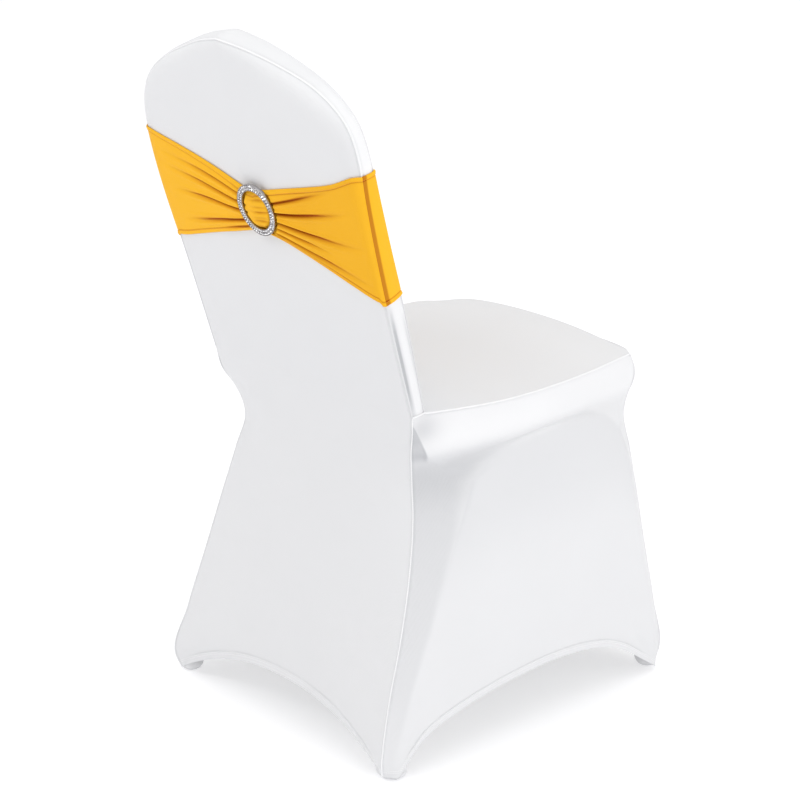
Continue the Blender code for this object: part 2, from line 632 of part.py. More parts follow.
def build_pocket(name, centre, hem, material):
    """Small closed cup that takes the chair's foot, taller on its inner side."""
    outer = []
    inner = []
    for k in range(POCKET_SIDES):
        heading = math.tau * k / POCKET_SIDES
        ray = np.array([math.cos(heading), math.sin(heading)])
        reach, height = hem_hit(hem, centre, heading)
        radius = min(reach - POCKET_GAP, POCKET_REACH)
        inside = hem_clearance(hem, centre + ray * radius)
        cap = POCKET_CAP + POCKET_TAB * soft_step(inside, *POCKET_CLEAR)
        top = min(height - 2 * POCKET_GAP, cap)
        profile = [(radius * s, z) for s, z in zip(POCKET["share"], POCKET["z"])]
        profile.append((radius, top))
        lining = [(r - CLOTH, z + POCKET_WALL_RISE) for r, z in profile[1:3]]
        lining.append((radius - CLOTH, top))
        outer.append([(*(centre + ray * r), z) for r, z in profile])
        inner.append([(*(centre + ray * r), z) for r, z in lining])
    rings = list(np.swapaxes(np.array(outer), 0, 1)) + list(np.swapaxes(np.array(inner), 0, 1))[::-1]
    points = np.concatenate(rings + [[(*centre, 0.0)], [(*centre, POCKET_SOLE)]])
    faces = quads(len(rings), POCKET_SIDES, True, closed=True)
    last = (len(rings) - 1) * POCKET_SIDES
    for k in range(POCKET_SIDES):
        n = (k + 1) % POCKET_SIDES
        faces.append((n, k, len(points) - 2))
        faces.append((last + k, last + n, len(points) - 1))
    return add_object(name, points, faces, material)


# ----------------------------------------------------------------- sash, ring
def ring_frame():
    """Centre of the ring on the rear plane, and the plane's two directions."""
    rise = np.array([0.0, BACK_LEAN, 1.0])
    rise /= np.linalg.norm(rise)
    out = np.array([0.0, rise[2], -rise[1]])
    z = SEAT_Z + RING["along"] * rise[2]
    centre = np.array([RING["x"], rear_plane(z) + BACK_BULGE, z])
    return centre, rise, out


def sash_relief(x, across, radius):
    """How far the gathered cloth stands off: puffed, folded, pressed by the rim."""
    away = abs(x - RING["x"])
    relief = PUFF * math.exp(-((away / PUFF_REACH) ** 2))
    relief += BAR["rise"] * math.exp(-((away / BAR["wide"]) ** 2))
    relief *= 1 - (2 * across - 1) ** 4
    for fold in FOLDS:
        blend = soft_step(fold["side"] * (x - RING["x"]), *FOLD_BLEND)
        fade = 1 - soft_step(away, FOLD_FADE * fold["reach"], fold["reach"])
        share = min(away / fold["reach"], 1.0)
        line = fold["ring"] + (fold["far"] - fold["ring"]) * share
        near = math.exp(-(((across - line) / fold["wide"]) ** 2))
        relief -= fold["deep"] * near * fade * blend
    rim = RING["outer"] - RING["width"] / 2
    slack = max(abs(radius - rim) - RING["width"] * RIM["half"], 0.0)
    return min(max(relief, 0.0), PRESSED + RIM["slope"] * slack)


def sash_columns():
    """Columns round the back: x or side, share of the way to the front, base
    point at any height, and heading away from the cover."""
    rear_out = np.array([0.0, 1.0, -BACK_LEAN]) / math.hypot(1.0, BACK_LEAN)
    sideways = np.array([1.0, 0.0, 0.0])

    def rear(x):
        return (x, 0.0, lambda z: (x, rear_plane(z) + BACK_BULGE, z), rear_out)

    def corner(sign, degrees, share):
        def base(z):
            read = {name: smooth_at(BACK_SEAM["z"], row, z) for name, row in BACK_SEAM.items()}
            wide = read["half_width"] - share * read["inset"]
            return (sign * wide, read["y"] - share * read["gusset"], z)
        turn = math.radians(degrees)
        heading = sign * math.sin(turn) * sideways + math.cos(turn) * rear_out
        return (sign * SASH_EDGES["away"][-1], max(share, 1e-6), base, heading)

    def front(x):
        return (x, 1.0, lambda z: (x, front_plane(z), z), -rear_out)

    near = [RING["x"] + x for x in NEAR_COLUMNS[:0:-1]] + [RING["x"] - x for x in NEAR_COLUMNS]
    across = list(FAR_COLUMNS[::-1]) + near + [-x for x in FAR_COLUMNS]
    columns = [rear(x) for x in across]
    for sign in (-1, 1):
        turned = [corner(sign, degrees, share) for degrees, share in TURN_COLUMNS]
        ahead = [front(sign * x) for x in FRONT_COLUMNS_X]
        columns += turned + ahead if sign < 0 else ahead[::-1] + turned[::-1]
    return columns


def sash_range(x, share):
    """Bottom and top height of the sash at a column."""
    side = "left" if x > RING["x"] else "right"
    low = smooth_at(SASH_EDGES["away"], SASH_EDGES["bottom_" + side], abs(x - RING["x"]))
    high = smooth_at(SASH_EDGES["away"], SASH_EDGES["top_" + side], abs(x - RING["x"]))
    low += (SASH_AHEAD["bottom"] - low) * share
    high += (SASH_AHEAD["top"] - high) * share
    return low, high


def build_sash(sheets, material):
    """Band round the back, lying on the cover and gathered at the ring."""
    points = []
    faces = []
    for outer, ring in sheets.values():
        faces += [tuple(v + len(points) for v in face) for face in ring]
        points += [Vector(p) for p in outer]
    cover = BVHTree.FromPolygons(points, faces)
    centre, rise, _ = ring_frame()
    columns = sash_columns()
    inner = np.zeros((SASH_ROWS + 1, len(columns), 3))
    outer = np.zeros_like(inner)
    for j, (x, share, base, heading) in enumerate(columns):
        low, high = sash_range(x, share)
        for i in range(SASH_ROWS + 1):
            across = i / SASH_ROWS
            z = low + (high - low) * across
            target = Vector(np.array(base(z)) + SASH_STAND_OFF * heading)
            spot, _, _, _ = cover.find_nearest(target)
            out = np.array((target - spot).normalized())
            relief = 0.0
            if share == 0.0:
                flat = np.array([x, rear_plane(z) + BACK_BULGE, z]) - centre
                radius = math.hypot(flat[0], float(flat @ rise))
                relief = sash_relief(x, across, radius)
            inner[i, j] = np.array(spot) + out * (REST_GAP + relief)
            outer[i, j] = inner[i, j] + out * SASH_CLOTH
    count = inner.shape[0] * inner.shape[1]
    rows, width = inner.shape[:2]
    body = quads(rows, width, True, closed=True)
    body += [tuple(v + count for v in reversed(face)) for face in body]
    top = (rows - 1) * width
    for k in range(width):
        n = (k + 1) % width
        body.append((n, k, k + count, n + count))
        body.append((top + k, top + n, top + n + count, top + k + count))
    both = np.concatenate([outer.reshape(-1, 3), inner.reshape(-1, 3)])
    return add_object("sash_band", both, body, material)


def build_ring(material):
    """Flat round ring with softly rounded faces, lying on the gathered cloth."""
    centre, rise, out = ring_frame()
    side = np.array([1.0, 0.0, 0.0])
    middle = RING["outer"] - RING["width"] / 2
    section = []
    for k in range(RING_SECTION):
        turn = math.tau * (k + 0.5) / RING_SECTION
        across, high = math.cos(turn), math.sin(turn)
        u = math.copysign(abs(across) ** RING_ROUND, across) * RING["width"] / 2
        v = math.copysign(abs(high) ** RING_ROUND, high) * RING["thick"] / 2
        section.append((u, v))
    lift = RING["off"] + RING["thick"] / 2
    points = []
    for i in range(RING_SIDES):
        turn = math.tau * i / RING_SIDES
        radial = side * math.cos(turn) + rise * math.sin(turn)
        for u, v in section:
            points.append(centre + radial * (middle + u) + out * (lift + v))
    faces = []
    for i in range(RING_SIDES):
        here = i * RING_SECTION
        after = (i + 1) % RING_SIDES * RING_SECTION
        for k in range(RING_SECTION):
            m = (k + 1) % RING_SECTION
            faces.append((here + m, after + m, after + k, here + k))
    return add_object("ring_slider", np.array(points), faces, material)


def main():
    for thing in list(bpy.data.objects):
        bpy.data.objects.remove(thing, do_unlink=True)
    white = finish("white stretch cloth", COVER_WHITE, 0.62, sheen=0.2)
    gold = finish("gold stretch cloth", SASH_GOLD, 0.55, sheen=0.2)
    silver = finish("silver metal", RING_SILVER, 0.25, metallic=1.0)
    grids = cover_grids()
    sheets = cover_sheets(grids)
    build_cover(grids, sheets, white)
    for name, centre in FEET.items():
        build_pocket(f"foot_pocket_{name}", np.array(centre), hem_near(grids, centre), white)
    build_sash(sheets, gold)
    build_ring(silver)


main()
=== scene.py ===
"""Stretch chair cover with a gathered sash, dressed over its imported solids.

The cover keeps the shape of the banquet chair that it is pulled over: smooth
white knit panels with sewn seams and folded hems, a gold sash drawn through a
ring slider set with small stones.  Metres, +Z up; the seat faces -Y.
"""

from __future__ import annotations

import logging
import math
from collections.abc import Callable, Iterable
from dataclasses import dataclass
from enum import Enum

import bmesh
import bpy
import numpy as np
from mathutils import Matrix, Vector
from mathutils.bvhtree import BVHTree

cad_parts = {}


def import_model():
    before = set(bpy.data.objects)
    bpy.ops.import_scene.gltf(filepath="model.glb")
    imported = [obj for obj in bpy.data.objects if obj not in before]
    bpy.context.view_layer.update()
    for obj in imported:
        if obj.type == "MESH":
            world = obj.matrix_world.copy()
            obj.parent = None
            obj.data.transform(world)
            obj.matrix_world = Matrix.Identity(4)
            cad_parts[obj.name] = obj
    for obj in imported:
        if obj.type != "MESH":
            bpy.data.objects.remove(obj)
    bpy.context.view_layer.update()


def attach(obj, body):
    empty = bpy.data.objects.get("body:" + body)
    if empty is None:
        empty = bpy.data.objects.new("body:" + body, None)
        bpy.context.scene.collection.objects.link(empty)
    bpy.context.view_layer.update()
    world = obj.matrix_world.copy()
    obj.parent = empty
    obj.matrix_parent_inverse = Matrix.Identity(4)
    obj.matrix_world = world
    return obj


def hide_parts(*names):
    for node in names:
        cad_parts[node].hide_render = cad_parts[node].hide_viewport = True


LOG = logging.getLogger("chair_cover")
MM = 0.001
# The shapes are drawn this far behind the record's origin.
OVERHANG = (0.0, 0.031605, 0.0)
SIDEWAYS = np.array([1.0, 0.0, 0.0])
WHITE = (1.0, 1.0, 1.0, 1.0)
Array = np.ndarray
Row = tuple[float, ...]
Pair = tuple[float, float]
Point = tuple[float, float, float]
Face = tuple[int, ...]
Links = dict[str | int, object]
Socket = bpy.types.NodeSocket


class Slot(str, Enum):
    """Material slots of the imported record."""

    COVER = "cover_cloth"
    SASH = "sash_cloth"
    SLIDER = "slider_metal"


class Side(Enum):
    """The two halves of the chair, by the sign of their x."""

    RIGHT = -1
    LEFT = 1


# ------------------------------------------------------------------ small maths
def smooth_at(knots: Iterable[float], values: Iterable[float], at: Array | float) -> Array:
    """Reads a smooth curve through values.

    Args:
        knots: rising places of the values.
        values: the value at each knot.
        at: where to read the curve; held at its ends outside the knots.

    Returns:
        The curve's value at each place.
    """
    knots, values = np.asarray(knots, float), np.asarray(values, float)
    at = np.clip(at, knots[0], knots[-1])
    slopes = np.gradient(values, knots)
    i = np.clip(np.searchsorted(knots, at, side="right") - 1, 0, len(knots) - 2)
    step = knots[i + 1] - knots[i]
    f = (at - knots[i]) / step
    start = (2 * f**3 - 3 * f**2 + 1) * values[i] + (f**3 - 2 * f**2 + f) * step * slopes[i]
    end = (3 * f**2 - 2 * f**3) * values[i + 1] + (f**3 - f**2) * step * slopes[i + 1]
    return start + end


def soft_step(value: Array | float, low: float, high: float) -> Array:
    """0 below low, 1 above high, smooth between them."""
    f = np.clip((value - low) / (high - low), 0.0, 1.0)
    return f * f * (3 - 2 * f)


def hump(value: Array | float, centre: float, width: float) -> Array:
    """Soft bump of height 1 round a centre."""
    return np.exp(-(((value - centre) / width) ** 2))


def blend(start: Array, end: Array, share: Array | float) -> Array:
    """Start and end, mixed by a share."""
    return start * (1 - share) + end * share


def towards(start: Array | float, end: Array | float, share: Array | float) -> Array | float:
    """The place that is a share of the way from start to end."""
    return start + (end - start) * share


def unit(vectors: Array) -> Array:
    """Vectors scaled to length one."""
    return vectors / np.maximum(np.linalg.norm(vectors, axis=-1, keepdims=True), 1e-12)


def xyz(x: Array | float, y: Array | float, z: Array | float) -> Array:
    """Points from their coordinates."""
    return np.stack(np.broadcast_arrays(x, y, z), axis=-1)


def mirrored(grid: Array) -> Array:
    """The same points on the other side of x = 0."""
    return grid * np.array([-1.0, 1.0, 1.0])


def over_peak(half: Array) -> Array:
    """Rows up one half to the middle, carried on down the other half."""
    return np.concatenate([half, mirrored(half)[-2::-1]])


def both_sides(half: Array) -> Array:
    """Half rows from seam to centre, joined to their mirror images."""
    return np.concatenate([half, mirrored(half)[:, -2::-1]], axis=1)


def travelled(points: Array, axis: int = 0) -> Array:
    """Distance along each line of a grid from its first point."""
    steps = np.linalg.norm(np.diff(points, axis=axis), axis=-1)
    lead = np.zeros_like(np.take(steps, [0], axis=axis))
    return np.concatenate([lead, np.cumsum(steps, axis=axis)], axis=axis)


def grid_normals(grid: Array, flip: bool) -> Array:
    """Outward normal at each point of a grid."""
    normals = unit(np.cross(np.gradient(grid, axis=0), np.gradient(grid, axis=1)))
    normals[..., 0] *= np.abs(grid[..., 0]) > 1e-7
    return -unit(normals) if flip else unit(normals)


def soften(grid: Array, passes: int) -> Array:
    """Smooths a grid's inner points; its edges stay put."""
    grid = grid.copy()
    for _ in range(passes):
        around = (grid[2:, 1:-1] + grid[:-2, 1:-1] + grid[1:-1, 2:] + grid[1:-1, :-2]) / 4
        grid[1:-1, 1:-1] += (around - grid[1:-1, 1:-1]) * 0.5
    return grid


# ------------------------------------------------------------- nodes and finishes
def linear(hex_colour: str) -> tuple[float, float, float, float]:
    """sRGB hex, such as #F4A81C, as linear RGBA."""
    parts = [int(hex_colour[i:i + 2], 16) / 255 for i in (1, 3, 5)]
    red, green, blue = (c / 12.92 if c <= 0.04045 else ((c + 0.055) / 1.055) ** 2.4 for c in parts)
    return red, green, blue, 1.0


def add_node(
    tree: bpy.types.NodeTree,
    kind: str,
    settings: dict[str, object] | None = None,
    links: Links | None = None,
) -> bpy.types.Node:
    """Adds one node with its settings and links.

    Args:
        tree: the tree that gets the node.
        kind: Blender's name of the node's type.
        settings: properties of the node by name.
        links: for each input socket, a value or the output socket that feeds it.

    Returns:
        The new node.
    """
    node = tree.nodes.new(kind)
    for name, value in (settings or {}).items():
        setattr(node, name, value)
    for socket, value in (links or {}).items():
        if isinstance(value, Socket):
            tree.links.new(value, node.inputs[socket])
        else:
            node.inputs[socket].default_value = value
    return node


@dataclass(frozen=True)
class Graph:
    """A node tree, with short ways to add what the finishes share."""

    tree: bpy.types.NodeTree

    def out(
        self,
        kind: str,
        links: Links | None = None,
        settings: dict[str, object] | None = None,
        pick: int | str = 0,
    ) -> Socket:
        """One output of a new node."""
        return add_node(self.tree, kind, settings, links).outputs[pick]

    def calc(self, operation: str, *values: object, clamp: bool = False) -> Socket:
        """The result of a maths node."""
        settings = {"operation": operation, "use_clamp": clamp}
        return self.out("ShaderNodeMath", dict(enumerate(values)), settings)

    def ranged(self, value: Socket, source: Pair, target: Pair) -> Socket:
        """A value carried from one range to another and held at its ends."""
        names = ("From Min", "From Max", "To Min", "To Max")
        ends = dict(zip(names, source + target))
        return self.out("ShaderNodeMapRange", {"Value": value, **ends})

    def place(self, kind: str = "Object") -> Socket:
        """The shaded point's coordinates."""
        return self.out("ShaderNodeTexCoord", pick=kind)

    def noise(self, scale: float, detail: float = 2.0, rough: float = 0.5) -> Socket:
        """Cloudy values over the piece's own metres."""
        return self.out("ShaderNodeTexNoise", {
            "Vector": self.place(), "Scale": scale, "Detail": detail, "Roughness": rough,
        }, pick="Fac")

    def bump(self, height: Socket, relief_mm: float, strength: float) -> Socket:
        """Normal of a face that the height lifts."""
        return self.out("ShaderNodeBump", {
            "Height": height, "Distance": relief_mm * MM, "Strength": strength})

    def mixed(self, share: Socket, start: str, end: str) -> Socket:
        """A colour between two sRGB hex colours."""
        links = {0: share, 6: linear(start), 7: linear(end)}
        return self.out("ShaderNodeMix", links, {"data_type": "RGBA"}, 2)


@dataclass(frozen=True)
class Finish:
    """A named material; each kind says what feeds its shader."""

    name: str

    def inputs(self, graph: Graph) -> Links:
        """Values and outputs for the shader's sockets."""
        raise NotImplementedError

    def material(self) -> bpy.types.Material:
        """Builds the material round one Principled shader."""
        material = bpy.data.materials.new(self.name)
        material.use_nodes = True
        tree = material.node_tree
        tree.nodes.clear()
        shader = add_node(tree, "ShaderNodeBsdfPrincipled", links=self.inputs(Graph(tree)))
        add_node(tree, "ShaderNodeOutputMaterial", links={"Surface": shader.outputs["BSDF"]})
        return material


@dataclass(frozen=True)
class KnitFinish(Finish):
    """Polyester-elastane knit: wales and courses read in the piece's own metres."""

    face: str
    painted_shade_colour: str
    wale_mm: float
    course_mm: float
    relief_mm: float
    roughness: float
    sheen: float
    mottle: float
    bend: float = 1.4
    fuzz: float = 0.9

    def inputs(self, graph: Graph) -> Links:
        """A fine dry tooth of loops, slow random mottling, and shade painted into the colour at
        each point.
        """
        cloth = graph.out("ShaderNodeUVMap", settings={"uv_map": "cloth"})
        split = add_node(graph.tree, "ShaderNodeSeparateXYZ", links={0: cloth}).outputs
        across = graph.calc("MULTIPLY", split[0], math.tau / (self.wale_mm * MM))
        along = graph.calc("MULTIPLY", split[1], math.tau / (self.course_mm * MM))
        wale = graph.calc("SINE", across)
        # Each course bends round its wale, which makes the loops' small Vs.
        course = graph.calc("SINE", graph.calc("MULTIPLY_ADD", wale, self.bend, along))
        loops = graph.calc("ADD", wale, course)
        height = graph.calc("MULTIPLY_ADD", graph.noise(900.0), self.fuzz, loops)
        # Painted shade: each point's share leans the colour towards the painted shade colour.
        painted_shade = graph.out("ShaderNodeAttribute", settings={"attribute_name": "painted_shade"}, pick="Fac")
        slow = graph.noise(9.0, 3.0, 0.45)
        tone = graph.calc("MULTIPLY_ADD", slow, self.mottle, painted_shade, clamp=True)
        return {
            "Base Color": graph.mixed(tone, self.face, self.painted_shade_colour),
            "Normal": graph.bump(height, self.relief_mm, 0.5),
            "Roughness": self.roughness,
            "Specular IOR Level": 0.12,
            "Sheen Weight": self.sheen,
            "Sheen Roughness": 0.45,
            "Sheen Tint": linear(self.face),
        }


@dataclass(frozen=True)
class ThreadFinish(Finish):
    """Spun polyester thread: soft, a little brighter than the cloth."""

    colour: str
    roughness: float = 0.6

    def inputs(self, graph: Graph) -> Links:
        """Fine twist marks along each stitch."""
        return {
            "Base Color": linear(self.colour),
            "Normal": graph.bump(graph.noise(1400.0, 1.0), 0.1, 0.4),
            "Roughness": self.roughness,
            "Sheen Weight": 0.2,
        }


@dataclass(frozen=True)
class PlatedFinish(Finish):
    """Rhodium-plated zinc casting: bright grey, faintly pitted from the mould."""

    colour: str
    roughness: float

    def inputs(self, graph: Graph) -> Links:
        """Small changes of gloss and a slight casting grain."""
        grain = graph.noise(700.0, 3.0)
        gloss = (self.roughness * 0.7, self.roughness * 1.4)
        return {
            "Base Color": linear(self.colour),
            "Metallic": 1.0,
            "Roughness": graph.ranged(grain, (0.0, 1.0), gloss),
            "Normal": graph.bump(grain, 0.08, 0.5),
        }


@dataclass(frozen=True)
class StoneFinish(Finish):
    """Foil-backed cut glass; the light that its facets throw is painted as bright and dark cells
    in its colour.
    """

    bright: str
    dark: str

    def inputs(self, graph: Graph) -> Links:
        """Painted reflections: bright and dark cells in the colour, under a real glossy coat."""
        cells = {"Vector": graph.place(), "Scale": 780.0}
        facet = graph.out("ShaderNodeTexVoronoi", cells, pick="Color")
        turned = graph.out("ShaderNodeSeparateXYZ", {0: facet})
        glint = graph.ranged(turned, (0.35, 0.70), (0.0, 1.0))
        return {
            "Base Color": graph.mixed(glint, self.bright, self.dark),
            "Metallic": 0.75,
            "Roughness": 0.08,
            "Coat Weight": 0.8,
            "Coat Roughness": 0.03,
        }


@dataclass(frozen=True)
class GlowingFinish(Finish):
    """Opal acrylic, lit from below so that shadows on it stay pale."""

    colour: str
    glow: float

    def inputs(self, graph: Graph) -> Links:
        """A dull white sheet with its own light."""
        return {
            "Base Color": linear(self.colour),
            "Roughness": 0.9,
            "Emission Color": WHITE,
            "Emission Strength": self.glow,
            "Normal": graph.bump(graph.noise(300.0), 0.1, 0.1),
        }


# A real wale of this knit is about 0.5 mm; both cloths draw it at 1.1 mm and
# more, so that the loops still show from a few steps away.
# The second colour of each knit is its painted shade colour.
COVER_KNIT = KnitFinish("white_polyester_elastane_knit", "#F2F2F3", "#C2C3C6", 1.5, 1.2, 0.10,
                        0.72, 0.15, 0.06)
SASH_KNIT = KnitFinish("gold_polyester_elastane_knit", "#FBBD27", "#A85004", 1.1, 0.9, 0.08,
                       0.62, 0.05, 0.08)
COVER_THREAD = ThreadFinish("white_spun_polyester_thread", "#F6F6F7")
SASH_THREAD = ThreadFinish("gold_spun_polyester_thread", "#F5A21A")
SLIDER_PLATE = PlatedFinish("plated_zinc_casting", "#B4B1B1", 0.25)
SLIDER_STONE = StoneFinish("foil_backed_cut_glass", "#FFFFFF", "#9A969D")
FLOOR_SHEET = GlowingFinish("opal_acrylic_light_table", "#CFCFD1", 0.49)


# ------------------------------------------------------------------ mesh helpers
def grid_faces(rows: int, columns: int, flip: bool, closed: bool = False) -> list[Face]:
    """Quads of a grid of points.

    Args:
        rows: number of rows.
        columns: number of points in a row.
        flip: whether the faces are turned over.
        closed: whether the last column meets the first.

    Returns:
        The corner numbers of each quad.
    """
    faces = []
    for i in range(rows - 1):
        for j in range(columns if closed else columns - 1):
            k = (j + 1) % columns
            low, high = i * columns, (i + 1) * columns
            quad = (low + j, high + j, high + k, low + k)
            faces.append(quad[::-1] if flip else quad)
    return faces


def add_object(name: str, data: bpy.types.ID) -> bpy.types.Object:
    """Puts new data in the scene as an object at the origin."""
    thing = bpy.data.objects.new(name, data)
    bpy.context.scene.collection.objects.link(thing)
    return thing


def new_mesh(name: str, points: Array, edges: list[Face], faces: list[Face]) -> bpy.types.Mesh:
    """A mesh of points of the drawn shapes, set in the record's frame."""
    mesh = bpy.data.meshes.new(name)
    placed = points.reshape(-1, 3) - OVERHANG
    mesh.from_pydata([tuple(map(float, p)) for p in placed], edges, faces)
    return mesh


def fill_layer(mesh: bpy.types.Mesh, name: str, values: Array) -> None:
    """Writes a number or a vector to each point of a mesh."""
    vectors = values.shape[-1] == 3
    layer = mesh.attributes.new(name, "FLOAT_VECTOR" if vectors else "FLOAT", "POINT")
    layer.data.foreach_set("vector" if vectors else "value", values.astype(np.float32).ravel())


def mount_piece(thing: bpy.types.Object, slot: Slot, *nodes: str) -> bpy.types.Object:
    """Puts a piece on the body, in place of the nodes it stands for."""
    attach(thing, "root")
    if nodes:
        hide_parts(*nodes)
    return thing


def new_piece(
    name: str,
    points: Array,
    faces: list[Face],
    material: bpy.types.Material,
    slot: Slot,
    *nodes: str,
    uv: Array | None = None,
    painted_shade: Array | None = None,
    wall: float = 0.0,
) -> bpy.types.Object:
    """Makes a smooth mesh piece at the origin and mounts it.

    Args:
        name: the piece's name.
        points: its points in metres, in any grid.
        faces: corner numbers of its faces.
        material: its finish.
        slot: the record's slot; not used.
        nodes: the solids that it stands for.
        uv: cloth metres at each point, if it is knit.
        painted_shade: painted shade at each point, as the share by which its colour leans to the
            painted shade colour.
        wall: thickness of a sheet, inwards from its face; none if 0.

    Returns:
        The new object.
    """
    mesh = new_mesh(name, points, [], faces)
    if uv is not None:
        corners = np.empty(len(mesh.loops), np.int32)
        mesh.loops.foreach_get("vertex_index", corners)
        layer = mesh.uv_layers.new(name="cloth")
        layer.data.foreach_set("uv", uv.reshape(-1, 2)[corners].astype(np.float32).ravel())
    # The painted shade is kept on the mesh's points for the knit's colour.
    if painted_shade is not None:
        fill_layer(mesh, "painted_shade", painted_shade.reshape(-1, 1))
    mesh.materials.append(material)
    work = bmesh.new()
    work.from_mesh(mesh)
    bmesh.ops.remove_doubles(work, verts=work.verts[:], dist=2e-6)
    work.to_mesh(mesh)
    work.free()
    mesh.shade_smooth()
    thing = add_object(name, mesh)
    if wall:
        sheet = thing.modifiers.new("wall", "SOLIDIFY")
        sheet.thickness, sheet.offset, sheet.use_even_offset = wall, -1.0, False
    return mount_piece(thing, slot, *nodes)


# ---------------------------------------------------------- the cover's outline
@dataclass(frozen=True)
class LegSeam:
    """A leg's seam on the -X side, from the foot pocket to the seat's corner."""

    z: Row
    half_width: Row
    y: Row

    def points(self, heights: Array) -> Array:
        """Points of the seam at the given heights."""
        wide, deep = (smooth_at(self.z, row, heights) for row in (self.half_width, self.y))
        return xyz(-wide, deep, heights)


@dataclass(frozen=True)
class BackSeam:
    """Rear seam of the back and the gusset that runs forward from it."""

    half_width: Row
    y: Row
    z: Row
    gusset: Row
    rise: Row
    inset: Row
    swell: Row

    def read(self, at: Array, by_height: bool = False) -> dict[str, Array]:
        """Every column at places counted in knots, or at heights."""
        knots = self.z if by_height else np.arange(len(self.z))
        return {name: smooth_at(knots, row, at) for name, row in vars(self).items()}


@dataclass(frozen=True)
class Level:
    """One level of a side panel, from the rear seam round to the front seam."""

    name: str
    rows: int
    rear_z: float
    front_z: float
    rear: Pair
    front: Pair
    wide: tuple[float, float, float, float]
    hem: float = 0.0
    arch: float = 0.0
    power: float = 2.0


@dataclass(frozen=True)
class CentreLine:
    """Centre of the rear or front panel below the seat, against its seam."""

    seam_z: Row
    z: Row
    y: Row
    flat: Row


@dataclass(frozen=True)
class Crease:
    """A soft trough (deep > 0) or ridge (deep < 0) in a panel, end to end, with shade painted
    along it by its tone.
    """

    panel: str
    start: Point
    end: Point
    deep_mm: float
    wide_mm: float
    tone: float = 0.0

    def across(self, share: float, shift_mm: float) -> Crease:
        """The same crease on the left half, fainter or bolder and moved in height."""
        ends = [(-x, y, z + shift_mm * MM) for x, y, z in (self.start, self.end)]
        return Crease(self.panel.replace("right", "left"), *ends, self.deep_mm * share,
                      self.wide_mm, self.tone * share)

    def swell(self, grid: Array) -> Array:
        """How strongly the crease reaches each point of the panel."""
        start = np.array(self.start)
        run = np.array(self.end) - start
        share = np.clip((grid - start) @ run / (run @ run), 0, 1)
        gap = np.linalg.norm(grid - start - share[..., None] * run, axis=-1)
        swell = np.sin(math.pi * np.clip(0.08 + 0.92 * share, 0, 1)) ** 0.7
        return hump(gap, 0, self.wide_mm * MM) * swell


REAR_LEG = LegSeam(
    z=(0.006, 0.021, 0.100, 0.180, 0.260, 0.330, 0.380, 0.418, 0.440, 0.472),
    half_width=(0.2142, 0.2190, 0.212, 0.2045, 0.1945, 0.1815, 0.170, 0.1795, 0.192, 0.199),
    y=(0.2552, 0.2602, 0.2420, 0.215, 0.191, 0.1735, 0.1655, 0.175, 0.185, 0.1905),
)
FRONT_LEG = LegSeam(
    z=(0.006, 0.021, 0.100, 0.180, 0.260, 0.330, 0.378, 0.405, 0.428, 0.466),
    half_width=(0.2135, 0.2172, 0.212, 0.204, 0.194, 0.183, 0.174, 0.179, 0.187, 0.186),
    y=(-0.2615, -0.2645, -0.2555, -0.243, -0.233, -0.226, -0.2215, -0.2225, -0.2255, -0.226),
)
BACK = BackSeam(
    half_width=(0.199, 0.2025, 0.2080, 0.2105, 0.2105, 0.200, 0.1775, 0.140, 0.090, 0.045, 0.0),
    y=(0.1905, 0.229, 0.259, 0.2745, 0.284, 0.289, 0.293, 0.298, 0.307, 0.318, 0.327),
    z=(0.472, 0.600, 0.700, 0.760, 0.808, 0.842, 0.867, 0.889, 0.907, 0.9205, 0.929),
    gusset=(0.0235, 0.0285, 0.026, 0.023, 0.020, 0.020, 0.022, 0.025, 0.032, 0.040, 0.048),
    rise=(0.0, 0.0, 0.0, 0.0, 0.0, 0.001, 0.001, 0.0015, 0.002, 0.002, 0.002),
    inset=(0.005, 0.004, 0.0035, 0.003, 0.003, 0.003, 0.003, 0.002, 0.001, 0.0, 0.0),
    swell=(0.001, 0.002, 0.002, 0.002, 0.003, 0.003, 0.004, 0.005, 0.006, 0.007, 0.008),
)
LEVELS = (
    Level("hem", 11, 0.006, 0.006, (0.242, 0.006), (-0.246, 0.006),
          (0.2315, 0.2265, 0.2265, 0.230), hem=1.0),
    Level("hem fold", 20, 0.017, 0.017, (0.241, 0.017), (-0.247, 0.017),
          (0.2305, 0.2262, 0.2262, 0.229), hem=0.98),
    Level("shin", 12, 0.100, 0.100, (0.2165, 0.105), (-0.2425, 0.105),
          (0.2245, 0.2235, 0.2235, 0.2245), hem=0.30, arch=0.008),
    Level("calf", 14, 0.190, 0.190, (0.1757, 0.189), (-0.225, 0.190),
          (0.2205, 0.2195, 0.2195, 0.2205), hem=0.06, arch=0.010),
    Level("knee", 11, 0.300, 0.300, (0.129, 0.300), (-0.2035, 0.300),
          (0.2158, 0.2150, 0.2150, 0.2155), arch=0.006),
    Level("rail", 8, 0.365, 0.362, (0.092, 0.378), (-0.170, 0.383),
          (0.2120, 0.2110, 0.2106, 0.2110), arch=0.028, power=3.0),
    Level("groove", 8, 0.403, 0.398, (0.138, 0.392), (-0.200, 0.402),
          (0.1850, 0.2055, 0.2020, 0.190), arch=0.012, power=3.0),
    Level("band foot", 12, 0.434, 0.424, (0.161, 0.413), (-0.215, 0.424),
          (0.1945, 0.2085, 0.2040, 0.189)),
    Level("seat seam", 0, 0.472, 0.466, (0.167, 0.471), (-0.217, 0.467),
          (0.1935, 0.2075, 0.2035, 0.1885), arch=-0.0065),
)
